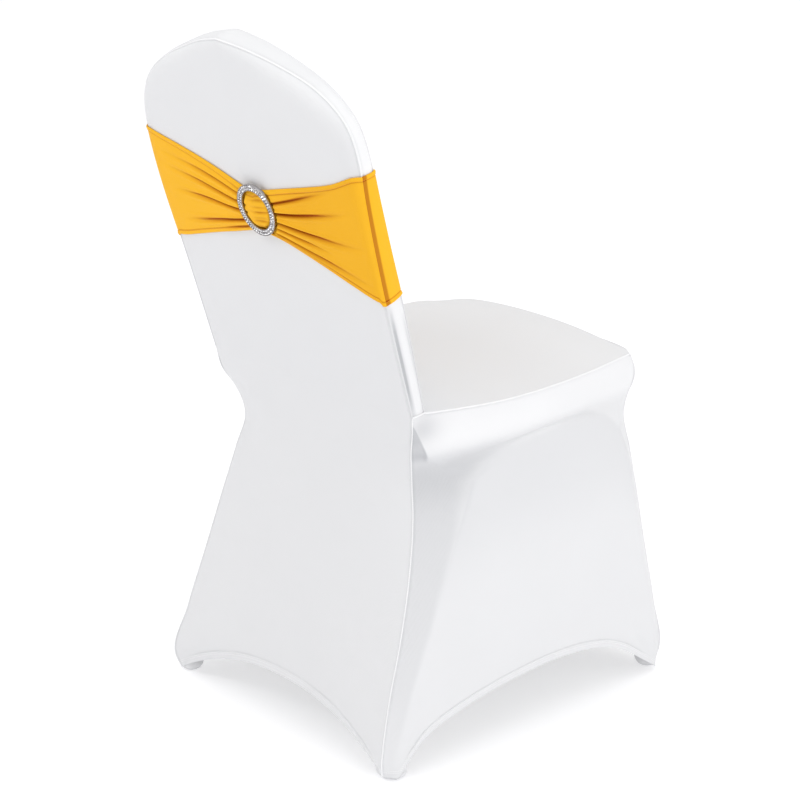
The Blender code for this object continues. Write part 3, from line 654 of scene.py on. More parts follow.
# Shares of a level's way forward at which its four widths lie.
WIDE_AT = (0.0, 0.30, 0.65, 1.0)
SIDE_HEM_AT = (0.0, 0.04, 0.08, 0.13, 0.20, 0.30, 0.45, 0.60, 0.72, 0.80, 0.87, 0.93, 1.0)
SIDE_HEM_RISE = (0.0, 0.0190, 0.0365, 0.0467, 0.0552, 0.0634, 0.0710, 0.0737, 0.0685, 0.0593,
                 0.0438, 0.0236, 0.0)
REAR_CENTRE = CentreLine(
    seam_z=(0.006, 0.100, 0.190, 0.260, 0.330, 0.380, 0.440, 0.472),
    z=(0.065, 0.128, 0.200, 0.264, 0.331, 0.380, 0.440, 0.472),
    y=(0.243, 0.232, 0.2185, 0.208, 0.1995, 0.195, 0.195, 0.1985),
    flat=(2.0, 2.4, 2.6, 2.8, 3.0, 3.5, 8.0, 16.0),
)
FRONT_CENTRE = CentreLine(
    seam_z=(0.006, 0.100, 0.190, 0.300, 0.362, 0.398, 0.424, 0.466),
    z=(0.068, 0.130, 0.202, 0.304, 0.364, 0.400, 0.426, 0.468),
    y=(-0.256, -0.253, -0.249, -0.244, -0.241, -0.239, -0.239, -0.237),
    flat=(2.0, 2.4, 2.6, 3.0, 3.5, 4.0, 4.0, 4.0),
)
SEAT_SHARE = (0.0, 0.04, 0.12, 0.35, 0.60, 0.85, 0.96, 1.0)
SEAT_Y = (-0.237, -0.227, -0.198, -0.112, -0.018, 0.080, 0.126, 0.142)
SEAT_RISE = (0.468, 0.478, 0.484, 0.487, 0.487, 0.483, 0.479, 0.480)
RIGHT_CREASES = (
    Crease("side_panel_right", (-0.206, 0.150, 0.425), (-0.207, 0.075, 0.440), 0.9, 9.0),
    Crease("side_panel_right", (-0.2235, -0.205, 0.060), (-0.229, -0.240, 0.022), 2.2, 9.0),
    Crease("side_panel_right", (-0.2235, 0.205, 0.070), (-0.2290, 0.236, 0.020), 1.4, 8.0),
    Crease("side_panel_right", (-0.200, -0.185, 0.400), (-0.204, -0.120, 0.418), 0.8, 10.0),
    Crease("side_panel_right", (-0.2205, -0.160, 0.330), (-0.2215, -0.205, 0.160), -0.8, 16.0),
    Crease("rear_panel", (-0.192, 0.187, 0.440), (-0.110, 0.199, 0.452), 1.0, 11.0),
    Crease("rear_panel", (-0.165, 0.180, 0.360), (-0.090, 0.196, 0.345), 0.7, 14.0),
    Crease("rear_panel", (-0.206, 0.247, 0.075), (-0.150, 0.238, 0.110), 0.8, 10.0),
    Crease("front_panel", (-0.160, -0.235, 0.430), (-0.070, -0.240, 0.415), 0.8, 14.0),
    Crease("front_panel", (-0.205, -0.256, 0.080), (-0.150, -0.252, 0.115), 0.8, 10.0),
    # Groove in the gusset beside the rear panel's roll, below the sash, with a stripe of painted
    # shade along it.
    Crease("back_gusset", (-0.1990, 0.1885, 0.476), (-0.2035, 0.2325, 0.626), 2.4, 3.0, 1.0),
    Crease("back_gusset", (-0.1985, 0.1770, 0.480), (-0.2010, 0.2140, 0.610), -0.9, 4.0),
    Crease("back_gusset", (-0.1988, 0.1868, 0.480), (-0.2030, 0.2290, 0.618), 0.3, 1.0, 0.60),
    Crease("back_gusset", (-0.1985, 0.1716, 0.490), (-0.2010, 0.2090, 0.612), -0.4, 2.4, 0.70),
)
# The left half is pulled a little differently from the right.
CREASES = RIGHT_CREASES + tuple(
    crease.across(share, shift)
    for crease, share, shift in zip(
        RIGHT_CREASES,
        (0.7, 0.8, 1.1, 0.5, 1.2, 0.6, 1.3, 0.7, 1.2, 0.6, 0.8, 0.8, 0.8, 0.8),
        (6.0, -5.0, 4.0, 9.0, -8.0, 7.0, -9.0, 5.0, 8.0, -6.0, 0.0, 0.0, 0.0, 0.0),
    )
)


@dataclass
class CoverPattern:
    """Smooth surfaces of the stretched cover, on half grids joined at x = 0."""

    back_rows: int = 96
    fine_steps: int = 1500
    even_columns: int = 24
    side_columns: int = 56
    side_softening: int = 14
    seat_z: float = 0.472
    back_foot_y: float = 0.1985
    back_lean: float = 0.290
    back_bulge: float = 0.003
    roll_width: float = 0.013
    roll_reach: float = 0.30
    roll_least: float = 0.085
    roll_power: float = 16.0
    seat_half: float = 0.199
    inside: Point = (0.0, 0.25, 0.60)
    peak_centre_z: float = 0.845
    peak_power: float = 0.8
    round_weight: float = 0.12
    arch_power: float = 2.3
    seat_crown: float = 2.6
    pad_power: float = 3.0
    crease_fade: float = 0.020
    even_run: float = 0.45
    rail_level: int = 5
    pad_z: Row = (0.472, 0.600, 0.750, 0.850, 0.935)
    pad_thick: Row = (0.057, 0.060, 0.057, 0.055, 0.053)
    # Places beside a seam, in mm, where the cloth needs close columns, and about
    # how wide half a panel and the gusset are.
    half_panel_mm: float = 200
    strip_mm: float = 25
    by_seam_mm: Row = (0.0, 0.4, 0.8, 1.2, 1.6, 2.0, 2.5, 3.1, 4.0, 5.2, 6.8, 9.0, 12.0, 16.0)

    def __post_init__(self) -> None:
        """Works out the shares of the columns and the half grids."""
        near = np.array(self.by_seam_mm)
        self.shares = np.concatenate([1 - near / self.half_panel_mm,
                                      np.linspace(0.90, 0.0, self.even_columns)])
        close = near[:11] / self.strip_mm
        self.turn = np.concatenate([close, np.linspace(0.36, 1.0, 8)])
        self.across = np.concatenate([close, [0.4, 0.5, 0.6], 1 - close[::-1]])
        self.gusset = self.gusset_half(self.across)
        self.side = self.side_grid()

    def rear_plane(self, z: Array | float) -> Array:
        """Depth of the flat rear of the back at a height."""
        return self.back_foot_y + self.back_lean * (z - self.seat_z)

    def front_plane(self, z: Array | float) -> Array:
        """Depth of the padded front of the back, on its centre line."""
        return self.rear_plane(z) - smooth_at(self.pad_z, self.pad_thick, z)

    def column(self, name: str) -> Array:
        """One entry of the levels at every row of a side panel.

        Args:
            name: the entry, a number or a tuple of numbers.

        Returns:
            A line for each row; it runs smoothly from the hem fold to the rail.
        """
        stations = []
        for number, level in enumerate(LEVELS[:-1]):
            share = np.arange(level.rows) / level.rows
            # Rows crowd together just above the hem, where its fold steps back.
            stations.append(number + (share**2 if level.name == "hem fold" else share))
        numbers = np.arange(len(LEVELS))
        at = np.concatenate([*stations, numbers[-1:]])
        low = slice(1, self.rail_level + 1)
        entries = np.array([getattr(level, name) for level in LEVELS], float)
        found = [np.where((at >= 1) & (at <= self.rail_level),
                          smooth_at(numbers[low], values[low], at),
                          np.interp(at, numbers, values))
                 for values in entries.reshape(len(LEVELS), -1).T]
        return np.array(found).T

    def outline(self) -> tuple[Array, Array, Array]:
        """Rear and front seam of the gusset on the -X side, and its swell."""
        fine = np.linspace(0, len(BACK.z) - 1, self.fine_steps)
        read = BACK.read(fine)
        steps = np.diff(xyz(-read["half_width"], read["y"], read["z"]), axis=0)
        heading = np.unwrap(np.arctan2(steps[:, 2], steps[:, 0]))
        turn = np.abs(np.diff(heading, prepend=heading[0]))
        length = np.linalg.norm(steps, axis=1) + self.round_weight * turn
        run = np.concatenate([[0], np.cumsum(length)])
        read = BACK.read(np.interp(np.linspace(0, run[-1], self.back_rows + 1), run, fine))
        rear = xyz(-read["half_width"], read["y"], read["z"])
        front = rear + xyz(read["inset"], -read["gusset"], read["rise"])
        rear[-1, 0] = front[-1, 0] = 0.0
        return rear, front, read["swell"]

    def gusset_half(self, across: Array) -> Array:
        """The gusset on the -X side, from the seat corner to the peak."""
        rear, front, swell = self.outline()
        along = unit(np.gradient(rear, axis=0))
        along[-1] = SIDEWAYS
        outward = unit(np.cross(along, front - rear))
        outward *= np.sign(np.sum(outward * (rear - self.inside), axis=1))[:, None]
        outward[-1, 0] = 0.0
        share = across[None, :, None]
        flat = blend(rear[:, None], front[:, None], share)
        return flat + 4 * share * (1 - share) * swell[:, None, None] * outward[:, None]

    def side_grid(self) -> Array:
        """The -X side panel: rows from hem to seat, columns from rear to front."""
        rear_seam = REAR_LEG.points(self.column("rear_z")[:, 0])
        front_seam = FRONT_LEG.points(self.column("front_z")[:, 0])
        even = np.linspace(0, 1, self.side_columns + 1)
        run = blend(0.5 - 0.5 * np.cos(math.pi * even), even, self.even_run)
        y, z = (blend(rear, front, run) for rear, front in zip(
            self.column("rear").T[..., None], self.column("front").T[..., None]))
        z = z + self.column("arch") * (1 - np.abs(2 * run - 1) ** self.column("power"))
        z = z + self.column("hem") * smooth_at(SIDE_HEM_AT, SIDE_HEM_RISE, run)
        x = np.array([-smooth_at(WIDE_AT, row, run) for row in self.column("wide")])
        middle = xyz(x, y, z)
        turn = self.turn[None, :, None]
        rear_turn = blend(rear_seam[:, None], middle[:, :1], turn[:, :-1])
        front_turn = blend(front_seam[:, None], middle[:, -1:], turn[:, -2::-1])
        grid = np.concatenate([rear_turn, middle, front_turn], axis=1)
        grid[-1, :len(self.turn)] = self.gusset_half(self.turn)[0]
        return soften(grid, self.side_softening)

    def leg_rows(self, seam: Array, centre: CentreLine) -> Array:
        """Rows below the seat, from a leg's seam to the centre line."""
        share, height = self.shares[None, :], seam[:, 2:3]
        z_mid, y_mid, flat = (smooth_at(centre.seam_z, row, height)
                              for row in (centre.z, centre.y, centre.flat))
        return xyz(seam[:, :1] * share, towards(y_mid, seam[:, 1:2], share**flat),
                   towards(z_mid, height, share**self.arch_power))

    def back_half(self, seam: Array, plane: Callable[[Array], Array], power: Array) -> Array:
        """Rows of the back, from the gusset's seam to the centre line."""
        share, height = self.shares[None, :], seam[:, 2:3]
        run = travelled(seam)[:, None]
        z_mid = towards(seam[0, 2], self.peak_centre_z, (run / run[-1]) ** self.peak_power)
        z = towards(z_mid, height, share)
        y = plane(z) + (seam[:, 1:2] - plane(height)) * share**power
        return xyz(seam[:, :1] * share, y, z)

    def rear_half(self) -> Array:
        """Rear panel, from the hem between the rear legs to the crown's peak."""
        low = self.leg_rows(self.side[:, 0], REAR_CENTRE)
        seam = self.gusset[:, 0]
        length = np.maximum(np.abs(seam[:, :1]), self.roll_least)
        reach = self.roll_reach / self.roll_width
        power = reach * length + self.roll_power - reach * self.seat_half
        high = self.back_half(seam, self.rear_plane, power)
        lift = soft_step(high[..., 2], self.seat_z, self.seat_z + 0.15)
        high[..., 1] += self.back_bulge * (1 - self.shares[None, :] ** 2) * lift
        return np.concatenate([low, high[1:]])

    def front_half(self) -> Array:
        """Front panel: skirt, seat top and inner back in one long piece."""
        skirt = self.leg_rows(self.side[:, -1], FRONT_CENTRE)
        seam = self.side[-1, len(self.turn) - 1:][::-1]
        run = travelled(seam)[:, None]
        run = run / run[-1]
        share = self.shares[None, :]
        seat = xyz(
            seam[:, :1] * share,
            towards(smooth_at(SEAT_SHARE, SEAT_Y, run), seam[:, 1:2], share**2),
            towards(smooth_at(SEAT_SHARE, SEAT_RISE, run), seam[:, 2:3], share**self.seat_crown))
        back = self.back_half(self.gusset[:, -1], self.front_plane, self.pad_power)
        # The foot of the back runs softly out of the seat's rear edge.
        fade = hump(back[:, :1, 2:3], back[0, 0, 2], self.crease_fade)
        back = back + (seat[-1] - back[0])[None] * fade
        return np.concatenate([skirt, seat[1:], back[1:]])


@dataclass(frozen=True)
class LegFacet:
    """The strip of a side panel from the rear leg's seam to the soft ridge.

    Only shade and light are painted here. Where the cloth bridges the corner under the seat and
    sinks in, painted shade stands in for it: least at the foot and most under the seat's rear
    corner.
    """

    # The ridge climbs the rear leg, crosses under the seat's band and goes
    # down the front leg.
    rear_z: Row = (0.028, 0.116, 0.189, 0.261, 0.319, 0.3675, 0.3885, 0.4013, 0.412)
    rear_y: Row = (0.2456, 0.2105, 0.1757, 0.1457, 0.1209, 0.1008, 0.0722, 0.0292, -0.060)
    front_z: Row = (0.034, 0.139, 0.248, 0.350, 0.3757, 0.4011, 0.412, 0.4109, 0.4061)
    front_y: Row = (-0.248, -0.2349, -0.2139, -0.1921, -0.179, -0.1503, -0.1194, -0.0839,
                    -0.0341)
    # Painted shade on the facet, against height.
    tone_z: Row = (0.02, 0.08, 0.15, 0.24, 0.33, 0.370, 0.392, 0.410, 0.470)
    tone: Row = (0.04, 0.13, 0.20, 0.25, 0.34, 0.48, 0.40, 0.08, 0.0)
    soft_z: Row = (0.03, 0.30, 0.41, 0.45)
    soft: Row = (0.004, 0.007, 0.030, 0.045)
    # Edge of the painted shade that climbs to the seat seam behind the band's pointed end.
    wedge_z: Row = (0.400, 0.440, 0.462)
    wedge_y: Row = (0.152, 0.1745, 0.1885)
    wedge_shade: float = 0.62
    # Heights over which that edge fades in, and out again.
    wedge_in: Pair = (0.396, 0.412)
    wedge_out: Pair = (0.452, 0.464)
    # Painted shadow in the corner under the seat: its depth and height, and its reach each way.
    corner_shadow: float = 0.50
    corner_at: Pair = (0.170, 0.450)
    corner_reach: Pair = (0.026, 0.020)
    # Painted shade below the ridge: it starts over these heights, and fades by this share over
    # these drops from the ridge.
    under_shade: float = 0.15
    under_soft: float = 0.006
    under_z: Pair = (0.20, 0.34)
    under_fade: float = 0.75
    under_drop: Pair = (0.02, 0.20)
    # Painted light: the seat's band is painted lighter.
    band_light: float = -0.16
    band_z: Pair = (0.405, 0.425)

    def tones(self, grid: Array) -> Array:
        """Shade painted at each point of a side panel, and painted light on the seat's band."""
        y, z = grid[..., 1], grid[..., 2]
        beyond = y - np.interp(z, self.rear_z, self.rear_y)
        inside = soft_step(beyond / np.interp(z, self.soft_z, self.soft), -0.8, 1.2)
        level = smooth_at(self.tone_z, self.tone, z)
        # Below the ridge the side hangs free; shade is painted there, a little darker than the
        # seat's band.
        over_y, over_z = (front + rear[-2::-1] for front, rear in (
            (self.front_y, self.rear_y), (self.front_z, self.rear_z)))
        drop = np.interp(y, over_y, over_z) - z
        below = soft_step(drop / self.under_soft, -0.6, 1.0)
        below = below * (1 - self.under_fade * soft_step(drop, *self.under_drop))
        below = below * soft_step(z, *self.under_z)
        edge = y - np.interp(z, self.wedge_z, self.wedge_y)
        wedge = soft_step(edge, -0.0012, 0.0018) + 0.5 * hump(edge, 0.001, 0.0012)
        wedge = wedge * soft_step(z, *self.wedge_in) * (1 - soft_step(z, *self.wedge_out))
        (deep, high), (deep_reach, high_reach) = self.corner_at, self.corner_reach
        corner = hump(y, deep, deep_reach) * hump(z, high, high_reach)
        return (level * inside + self.under_shade * below + self.wedge_shade * wedge
                + self.corner_shadow * corner + self.band_light * soft_step(z, *self.band_z))


@dataclass
class Panel:
    """One cut piece of the cover with its seams, hem and creases."""

    node: str
    piece: str
    grid: Array
    flip: bool
    flat: Pair
    area: float
    hemmed: bool = True
    wall: float = 1.2 * MM
    hem_fold: float = 10.8 * MM
    hem_proud: float = 0.7 * MM
    hem_edge: float = 0.5 * MM
    hem_dip: float = 0.6 * MM
    # Painted shade along the hem's fold line.
    hem_tone: float = 0.18
    # The tip of each leg is drawn smooth over its pocket, up to these heights.
    tip_z: Pair = (0.014, 0.030)
    seam_at: float = 2.0 * MM
    seam_wide: float = 1.2 * MM
    seam_dip: float = 0.5 * MM
    # Painted shade beside each seam.
    seam_tone: float = 0.08
    # Painted light and shade on the cloth, against height.
    tone: Row = (0.30, 0.30)
    tone_z: Row = (0.60, 0.76)

    def __post_init__(self) -> None:
        """Works out the finished face and its tone."""
        self.normals = grid_normals(self.grid, self.flip)
        self.up = travelled(self.grid, axis=0)
        self.round = travelled(self.grid, axis=1)
        stand, self.shade = self.relief()
        self.face = self.grid + stand[..., None] * self.normals

    def relief(self) -> tuple[Array, Array]:
        """Stand-off of every point, and the shade painted on it."""
        by_seam = np.minimum(self.round, self.round[:, -1:] - self.round)
        side = self.node.startswith("side")
        if side:
            by_seam = np.minimum(by_seam, travelled(self.grid[::-1], axis=0)[::-1])
        stand = -self.seam_dip * hump(by_seam, self.seam_at, self.seam_wide)
        # Painted shade beside the seams, along the hem's fold, on the side panels and along the
        # creases.
        shade = self.seam_tone * hump(by_seam, self.seam_at - 0.1 * MM, self.seam_wide - 0.1 * MM)
        shade = shade + np.interp(self.grid[..., 2], self.tone_z, self.tone)
        if self.hemmed:
            up = self.up - self.hem_fold
            free = soft_step(self.grid[:1, :, 2], *self.tip_z)
            rolled = self.hem_proud * (1 - soft_step(up, -0.4 * MM, 0.8 * MM))
            rolled = rolled - self.hem_edge * (1 - soft_step(self.up, 0, 1.4 * MM))
            rolled = rolled - self.hem_dip * hump(up, 0.8 * MM, 0.9 * MM)
            stand = stand + rolled * free
            shade = shade + self.hem_tone * hump(up, 0.6 * MM, 1.0 * MM) * free
        if side:
            shade = shade + LegFacet().tones(self.grid)
        for crease in CREASES:
            if crease.panel == self.node:
                reach = crease.swell(self.grid)
                stand = stand - crease.deep_mm * MM * reach
                shade = shade + crease.tone * reach
        return stand, shade

    def build(self, material: bpy.types.Material) -> bpy.types.Object:
        """Makes the panel and hides its solid."""
        x, y, z = np.moveaxis(self.grid, -1, 0)
        # The wales run straight up each cut piece.
        cloth = (self.round, self.up)
        if self.hemmed:
            cloth = (y, z) if self.node.startswith("side") else (x, z + y)
        faces = grid_faces(*self.grid.shape[:2], self.flip)
        return new_piece(self.piece, self.face, faces, material, Slot.COVER, self.node,
                         uv=np.stack(cloth, axis=-1), painted_shade=self.shade, wall=self.wall)


# ------------------------------------------------------- what follows a path
@dataclass(frozen=True)
class Path:
    """A line on the cloth with the direction that faces out at each point."""

    points: Array
    outward: Array

    def moved(self, lift: float) -> Path:
        """The line lifted off the cloth."""
        return Path(self.points + self.outward * lift, self.outward)

    def turned(self, change: Callable[[Array], Array]) -> Path:
        """The same change made to the points and to their directions."""
        return Path(change(self.points), change(self.outward))


def line_up(face: Array, normals: Array, up: Array, at: Array | float) -> Path:
    """A line that crosses every column of a grid.

    Args:
        face: the grid's points.
        normals: the way that each faces.
        up: distance of each point from the foot of its column.
        at: distance at which the line crosses each column.

    Returns:
        The line, with the directions that it faces.
    """
    count = face.shape[1]
    at = np.broadcast_to(at, count)
    found = [[np.interp(at[j], up[:, j], part[:, j, k]) for k in range(3)]
             for part in (face, normals) for j in range(count)]
    points, outward = np.array(found).reshape(2, count, 3)
    return Path(points, unit(outward))


def swept(paths: list[Path], width: float, height: float) -> tuple[Array, list[Face]]:
    """Flat round cords along paths, closed at their ends.

    Args:
        paths: the lines that the cords follow.
        width: breadth of the cord on the cloth.
        height: its thickness.

    Returns:
        Points and faces.
    """
    sides = 8
    rings: list[Array] = []
    faces: list[Face] = []
    turn = math.tau * (np.arange(sides) + 0.5) / sides
    across, up = (part[None, :, None]
                  for part in (np.cos(turn) * width / 2, np.sin(turn) * height / 2))
    for path in paths:
        along = unit(np.gradient(path.points, axis=0))
        side = unit(np.cross(along, path.outward))
        ring = side[:, None] * across + np.cross(side, along)[:, None] * up
        base, count = sum(map(len, rings)), len(path.points)
        quads = grid_faces(count, sides, False, True)
        ends = [tuple(range(sides)), tuple(range(count * sides - 1, (count - 1) * sides - 1, -1))]
        faces += [tuple(base + corner for corner in face) for face in quads + ends]
        rings.append((ring + path.points[:, None]).reshape(-1, 3))
    return np.concatenate(rings), faces


@dataclass(frozen=True)
class Repeat:
    """One small shape set again and again along paths by Geometry Nodes."""

    name: str
    spacing: float
    size: Point
    faceted: bool = False
    turn_most: float = 0.0
    seed: int = 7

    def tree(self, material: bpy.types.Material) -> bpy.types.NodeTree:
        """Builds the node tree.

        Args:
            material: the finish of the repeated shape.

        Returns:
            A tree that walks the path at an even spacing and sets a stitch, or
            a cut stone, at each step, facing out of the cloth.
        """
        tree = bpy.data.node_groups.new(self.name, "GeometryNodeTree")
        floats = ("Spacing", "Length", "Width", "Height", "Most Turn")
        kinds = {"Path": "Geometry", **dict.fromkeys(floats, "Float"), "Seed": "Int"}
        for name, kind in kinds.items():
            tree.interface.new_socket(name, in_out="INPUT", socket_type=f"NodeSocket{kind}")
        tree.interface.new_socket("Pieces", in_out="OUTPUT", socket_type="NodeSocketGeometry")
        graph = Graph(tree)
        given = add_node(tree, "NodeGroupInput").outputs
        curve = graph.out("GeometryNodeMeshToCurve", {"Mesh": given["Path"]})
        steps = graph.out("GeometryNodeResampleCurve",
                          {"Curve": curve, "Length": given["Spacing"]}, {"mode": "LENGTH"})
        outward = graph.out("GeometryNodeInputNamedAttribute", {"Name": "outward"},
                            {"data_type": "FLOAT_VECTOR"})
        lying = graph.out("FunctionNodeAlignRotationToVector", {"Vector": outward}, {"axis": "Z"})
        tangent = graph.out("GeometryNodeInputTangent")
        aligned = graph.out("FunctionNodeAlignRotationToVector",
                            {"Rotation": lying, "Vector": tangent},
                            {"axis": "X", "pivot_axis": "Z"})
        chance = graph.out("FunctionNodeRandomValue", {"Seed": given["Seed"]},
                           {"data_type": "FLOAT"}, 1)
        spin = graph.calc("MULTIPLY", chance, given["Most Turn"])
        tilt = graph.out("ShaderNodeCombineXYZ", dict.fromkeys(range(3), spin))
        turned = graph.out("FunctionNodeRotateRotation",
                           {"Rotation": aligned, "Rotate By": tilt}, {"rotation_space": "LOCAL"})
        if self.faceted:
            shape = graph.out("GeometryNodeMeshCone", {
                "Vertices": 8, "Radius Top": 0.28, "Radius Bottom": 0.5, "Depth": 0.5})
        else:
            shape = graph.out("GeometryNodeMeshUVSphere", {
                "Segments": 6, "Rings": 4, "Radius": 0.5})
        smooth = graph.out("GeometryNodeSetShadeSmooth", {
            "Geometry": shape, "Shade Smooth": not self.faceted})
        size = graph.out("ShaderNodeCombineXYZ", {
            0: given["Length"], 1: given["Width"], 2: given["Height"]})
        placed = graph.out("GeometryNodeInstanceOnPoints", {
            "Points": steps, "Instance": smooth, "Rotation": turned, "Scale": size})
        real = graph.out("GeometryNodeRealizeInstances", {0: placed})
        dressed = graph.out("GeometryNodeSetMaterial", {"Geometry": real, "Material": material})
        add_node(tree, "NodeGroupOutput", links={0: dressed})
        return tree

    def along(
        self, paths: list[Path], material: bpy.types.Material, slot: Slot,
    ) -> bpy.types.Object:
        """Sets the shape along the paths and turns the result into one mesh piece."""
        edges: list[Face] = []
        start = 0
        for path in paths:
            edges += [(start + i, start + i + 1) for i in range(len(path.points) - 1)]
            start += len(path.points)
        lines = new_mesh(self.name, np.concatenate([p.points for p in paths]), edges, [])
        fill_layer(lines, "outward", np.concatenate([p.outward for p in paths]))
        thing = add_object(self.name, lines)
        modifier = thing.modifiers.new("repeat", "NODES")
        modifier.node_group = self.tree(material)
        values = {"Spacing": self.spacing, "Length": self.size[0], "Width": self.size[1],
                  "Height": self.size[2], "Most Turn": self.turn_most, "Seed": self.seed}
        for item in modifier.node_group.interface.items_tree:
            if item.name in values:
                modifier[item.identifier] = values[item.name]
        seen = thing.evaluated_get(bpy.context.evaluated_depsgraph_get())
        mesh = bpy.data.meshes.new_from_object(seen)
        thing.modifiers.clear()
        thing.data = mesh
        mesh.name = self.name
        return mount_piece(thing, slot)


OVERLOCK = Repeat("overlock_stitches", 2.3 * MM, (0.8 * MM, 2.0 * MM, 0.7 * MM))
HEM_STITCHES = Repeat("hem_stitches", 3.0 * MM, (2.3 * MM, 0.7 * MM, 0.5 * MM))
SASH_STITCHES = Repeat("sash_stitches", 2.6 * MM, (2.0 * MM, 0.6 * MM, 0.45 * MM))
# How far a seam's cord and its stitches lie over the cloth.
WELT_LIFT, OVERLOCK_LIFT, STITCH_LIFT = 0.15 * MM, 0.55 * MM, 0.1 * MM


@dataclass
class Cover:
    """The sewn white cover: panels, raised seams and stitching."""

    pattern: CoverPattern
    # Breadth and thickness of the raised seams.
    welts: tuple[tuple[str, Pair], ...] = (
        ("back", (2.2 * MM, 1.5 * MM)),
        ("leg", (1.5 * MM, 1.3 * MM)),
        ("seat", (2.6 * MM, 2.0 * MM)),
    )
    # The raised seams get less painted grey than the panels, a painted highlight.
    welt_tone: float = 0.05
    # Shade is painted on the back's seam below the sash, as on the gusset's groove.
    back_seam_shade: float = 0.38
    back_seam_shade_z: Pair = (0.62, 0.68)
    hem_rows: Pair = (7.0 * MM, 9.6 * MM)
    # The left front corner of the seat sits lower and rounder than the right one:
    # place, how far it is let down, and how wide.
    slumps: tuple[tuple[Row, Row, float], ...] = (
        ((0.188, -0.226, 0.470), (-0.010, 0.008, -0.0065), 0.036),
        ((-0.190, -0.228, 0.470), (0.0045, 0.0045, -0.0035), 0.016),
    )

    def __post_init__(self) -> None:
        """Lays out the panels from the pattern."""
        self.rear_half, self.front_half = self.pattern.rear_half(), self.pattern.front_half()
        rear, front, right, left, gusset = map(self.slumped, (
            both_sides(self.rear_half), both_sides(self.front_half), self.pattern.side,
            mirrored(self.pattern.side), over_peak(self.pattern.gusset)))
        panels = (
            Panel("rear_panel", "rear_cloth", rear, False, (0.45, 0.95), 0.33),
            Panel("front_panel", "front_cloth", front, True, (0.45, 1.35), 0.46),
            Panel("side_panel_right", "side_cloth_right", right, True, (0.50, 0.45), 0.17),
            Panel("side_panel_left", "side_cloth_left", left, False, (0.50, 0.45), 0.17),
            # The gusset is painted lighter, as if lit, and painted darker again towards the crown.
            Panel("back_gusset", "gusset_cloth", gusset, True, (0.055, 1.10), 0.032, False,
                  tone=(0.12, 0.0, 0.08, 0.30), tone_z=(0.60, 0.76, 0.84, 0.90)),
        )
        self.panels = {panel.node: panel for panel in panels}

    def slumped(self, points: Array) -> Array:
        """Points of the cover with the front corners of the seat let down."""
        moved = points
        for place, drop, wide in self.slumps:
            gap = np.linalg.norm(points - place, axis=-1)[..., None]
            moved = moved + np.array(drop) * hump(gap, 0, wide)
        return moved

    def seam_paths(self) -> dict[str, list[Path]]:
        """Lines of the seams, each on the crest between its two cloths."""
        side, gusset = self.pattern.side, self.pattern.gusset
        sides, strips = grid_normals(side, True), grid_normals(gusset, True)
        rears, fronts = grid_normals(self.rear_half, False), grid_normals(self.front_half, True)
        legs, seat = len(side), side.shape[1] - len(self.pattern.turn) + 1
        back = [Path(gusset[:, 0], unit(rears[legs - 1:, 0] + strips[:, 0])),
                Path(gusset[:, -1], unit(fronts[legs + seat - 2:, 0] + strips[:, -1]))]
        leg = [Path(side[:, 0], unit(rears[:legs, 0] + sides[:, 0])),
               Path(side[:, -1], unit(fronts[:legs, 0] + sides[:, -1]))]
        rail = Path(side[-1], unit(sides[-1] + (0.0, 0.0, 0.6)))
        found = {
            "back": [path.turned(over_peak) for path in back],
            "leg": [path.turned(change) for path in leg for change in (np.copy, mirrored)],
            "seat": [rail, rail.turned(mirrored)],
        }
        return {name: [Path(self.slumped(p.points), p.outward) for p in paths]
                for name, paths in found.items()}

    def build(self) -> list[bpy.types.Object]:
        """Makes the cover with its raised seams and stitching.

        Returns:
            The cover's panels, in the order of their nodes.
        """
        cloth, thread = COVER_KNIT.material(), COVER_THREAD.material()
        made = {node: panel.build(cloth) for node, panel in self.panels.items()}
        seams = self.seam_paths()
        for name, size in self.welts:
            points, faces = swept([p.moved(WELT_LIFT) for p in seams[name]], *size)
            # Painted shade on the back's seam below the sash, and the seams' lighter painted grey.
            seam_shade = self.back_seam_shade * (1 - soft_step(points[:, 2], *self.back_seam_shade_z))
            tone = seam_shade * (name == "back") + self.welt_tone
            new_piece(f"{name}_seams", points, faces, cloth, Slot.COVER,
                                    uv=np.zeros((len(points), 2)), painted_shade=tone)
        legs = [p.moved(OVERLOCK_LIFT) for p in seams["leg"]]
        overlock = OVERLOCK.along(legs, thread, Slot.COVER)
        hems = [line_up(panel.face, panel.normals, panel.up, up).moved(STITCH_LIFT)
                for panel in self.panels.values() if panel.hemmed for up in self.hem_rows]
        running = HEM_STITCHES.along(hems, thread, Slot.COVER)
        for node, panel in self.panels.items():
            LOG.info("%s: %d points", panel.piece, len(made[node].data.vertices))
        return list(made.values())


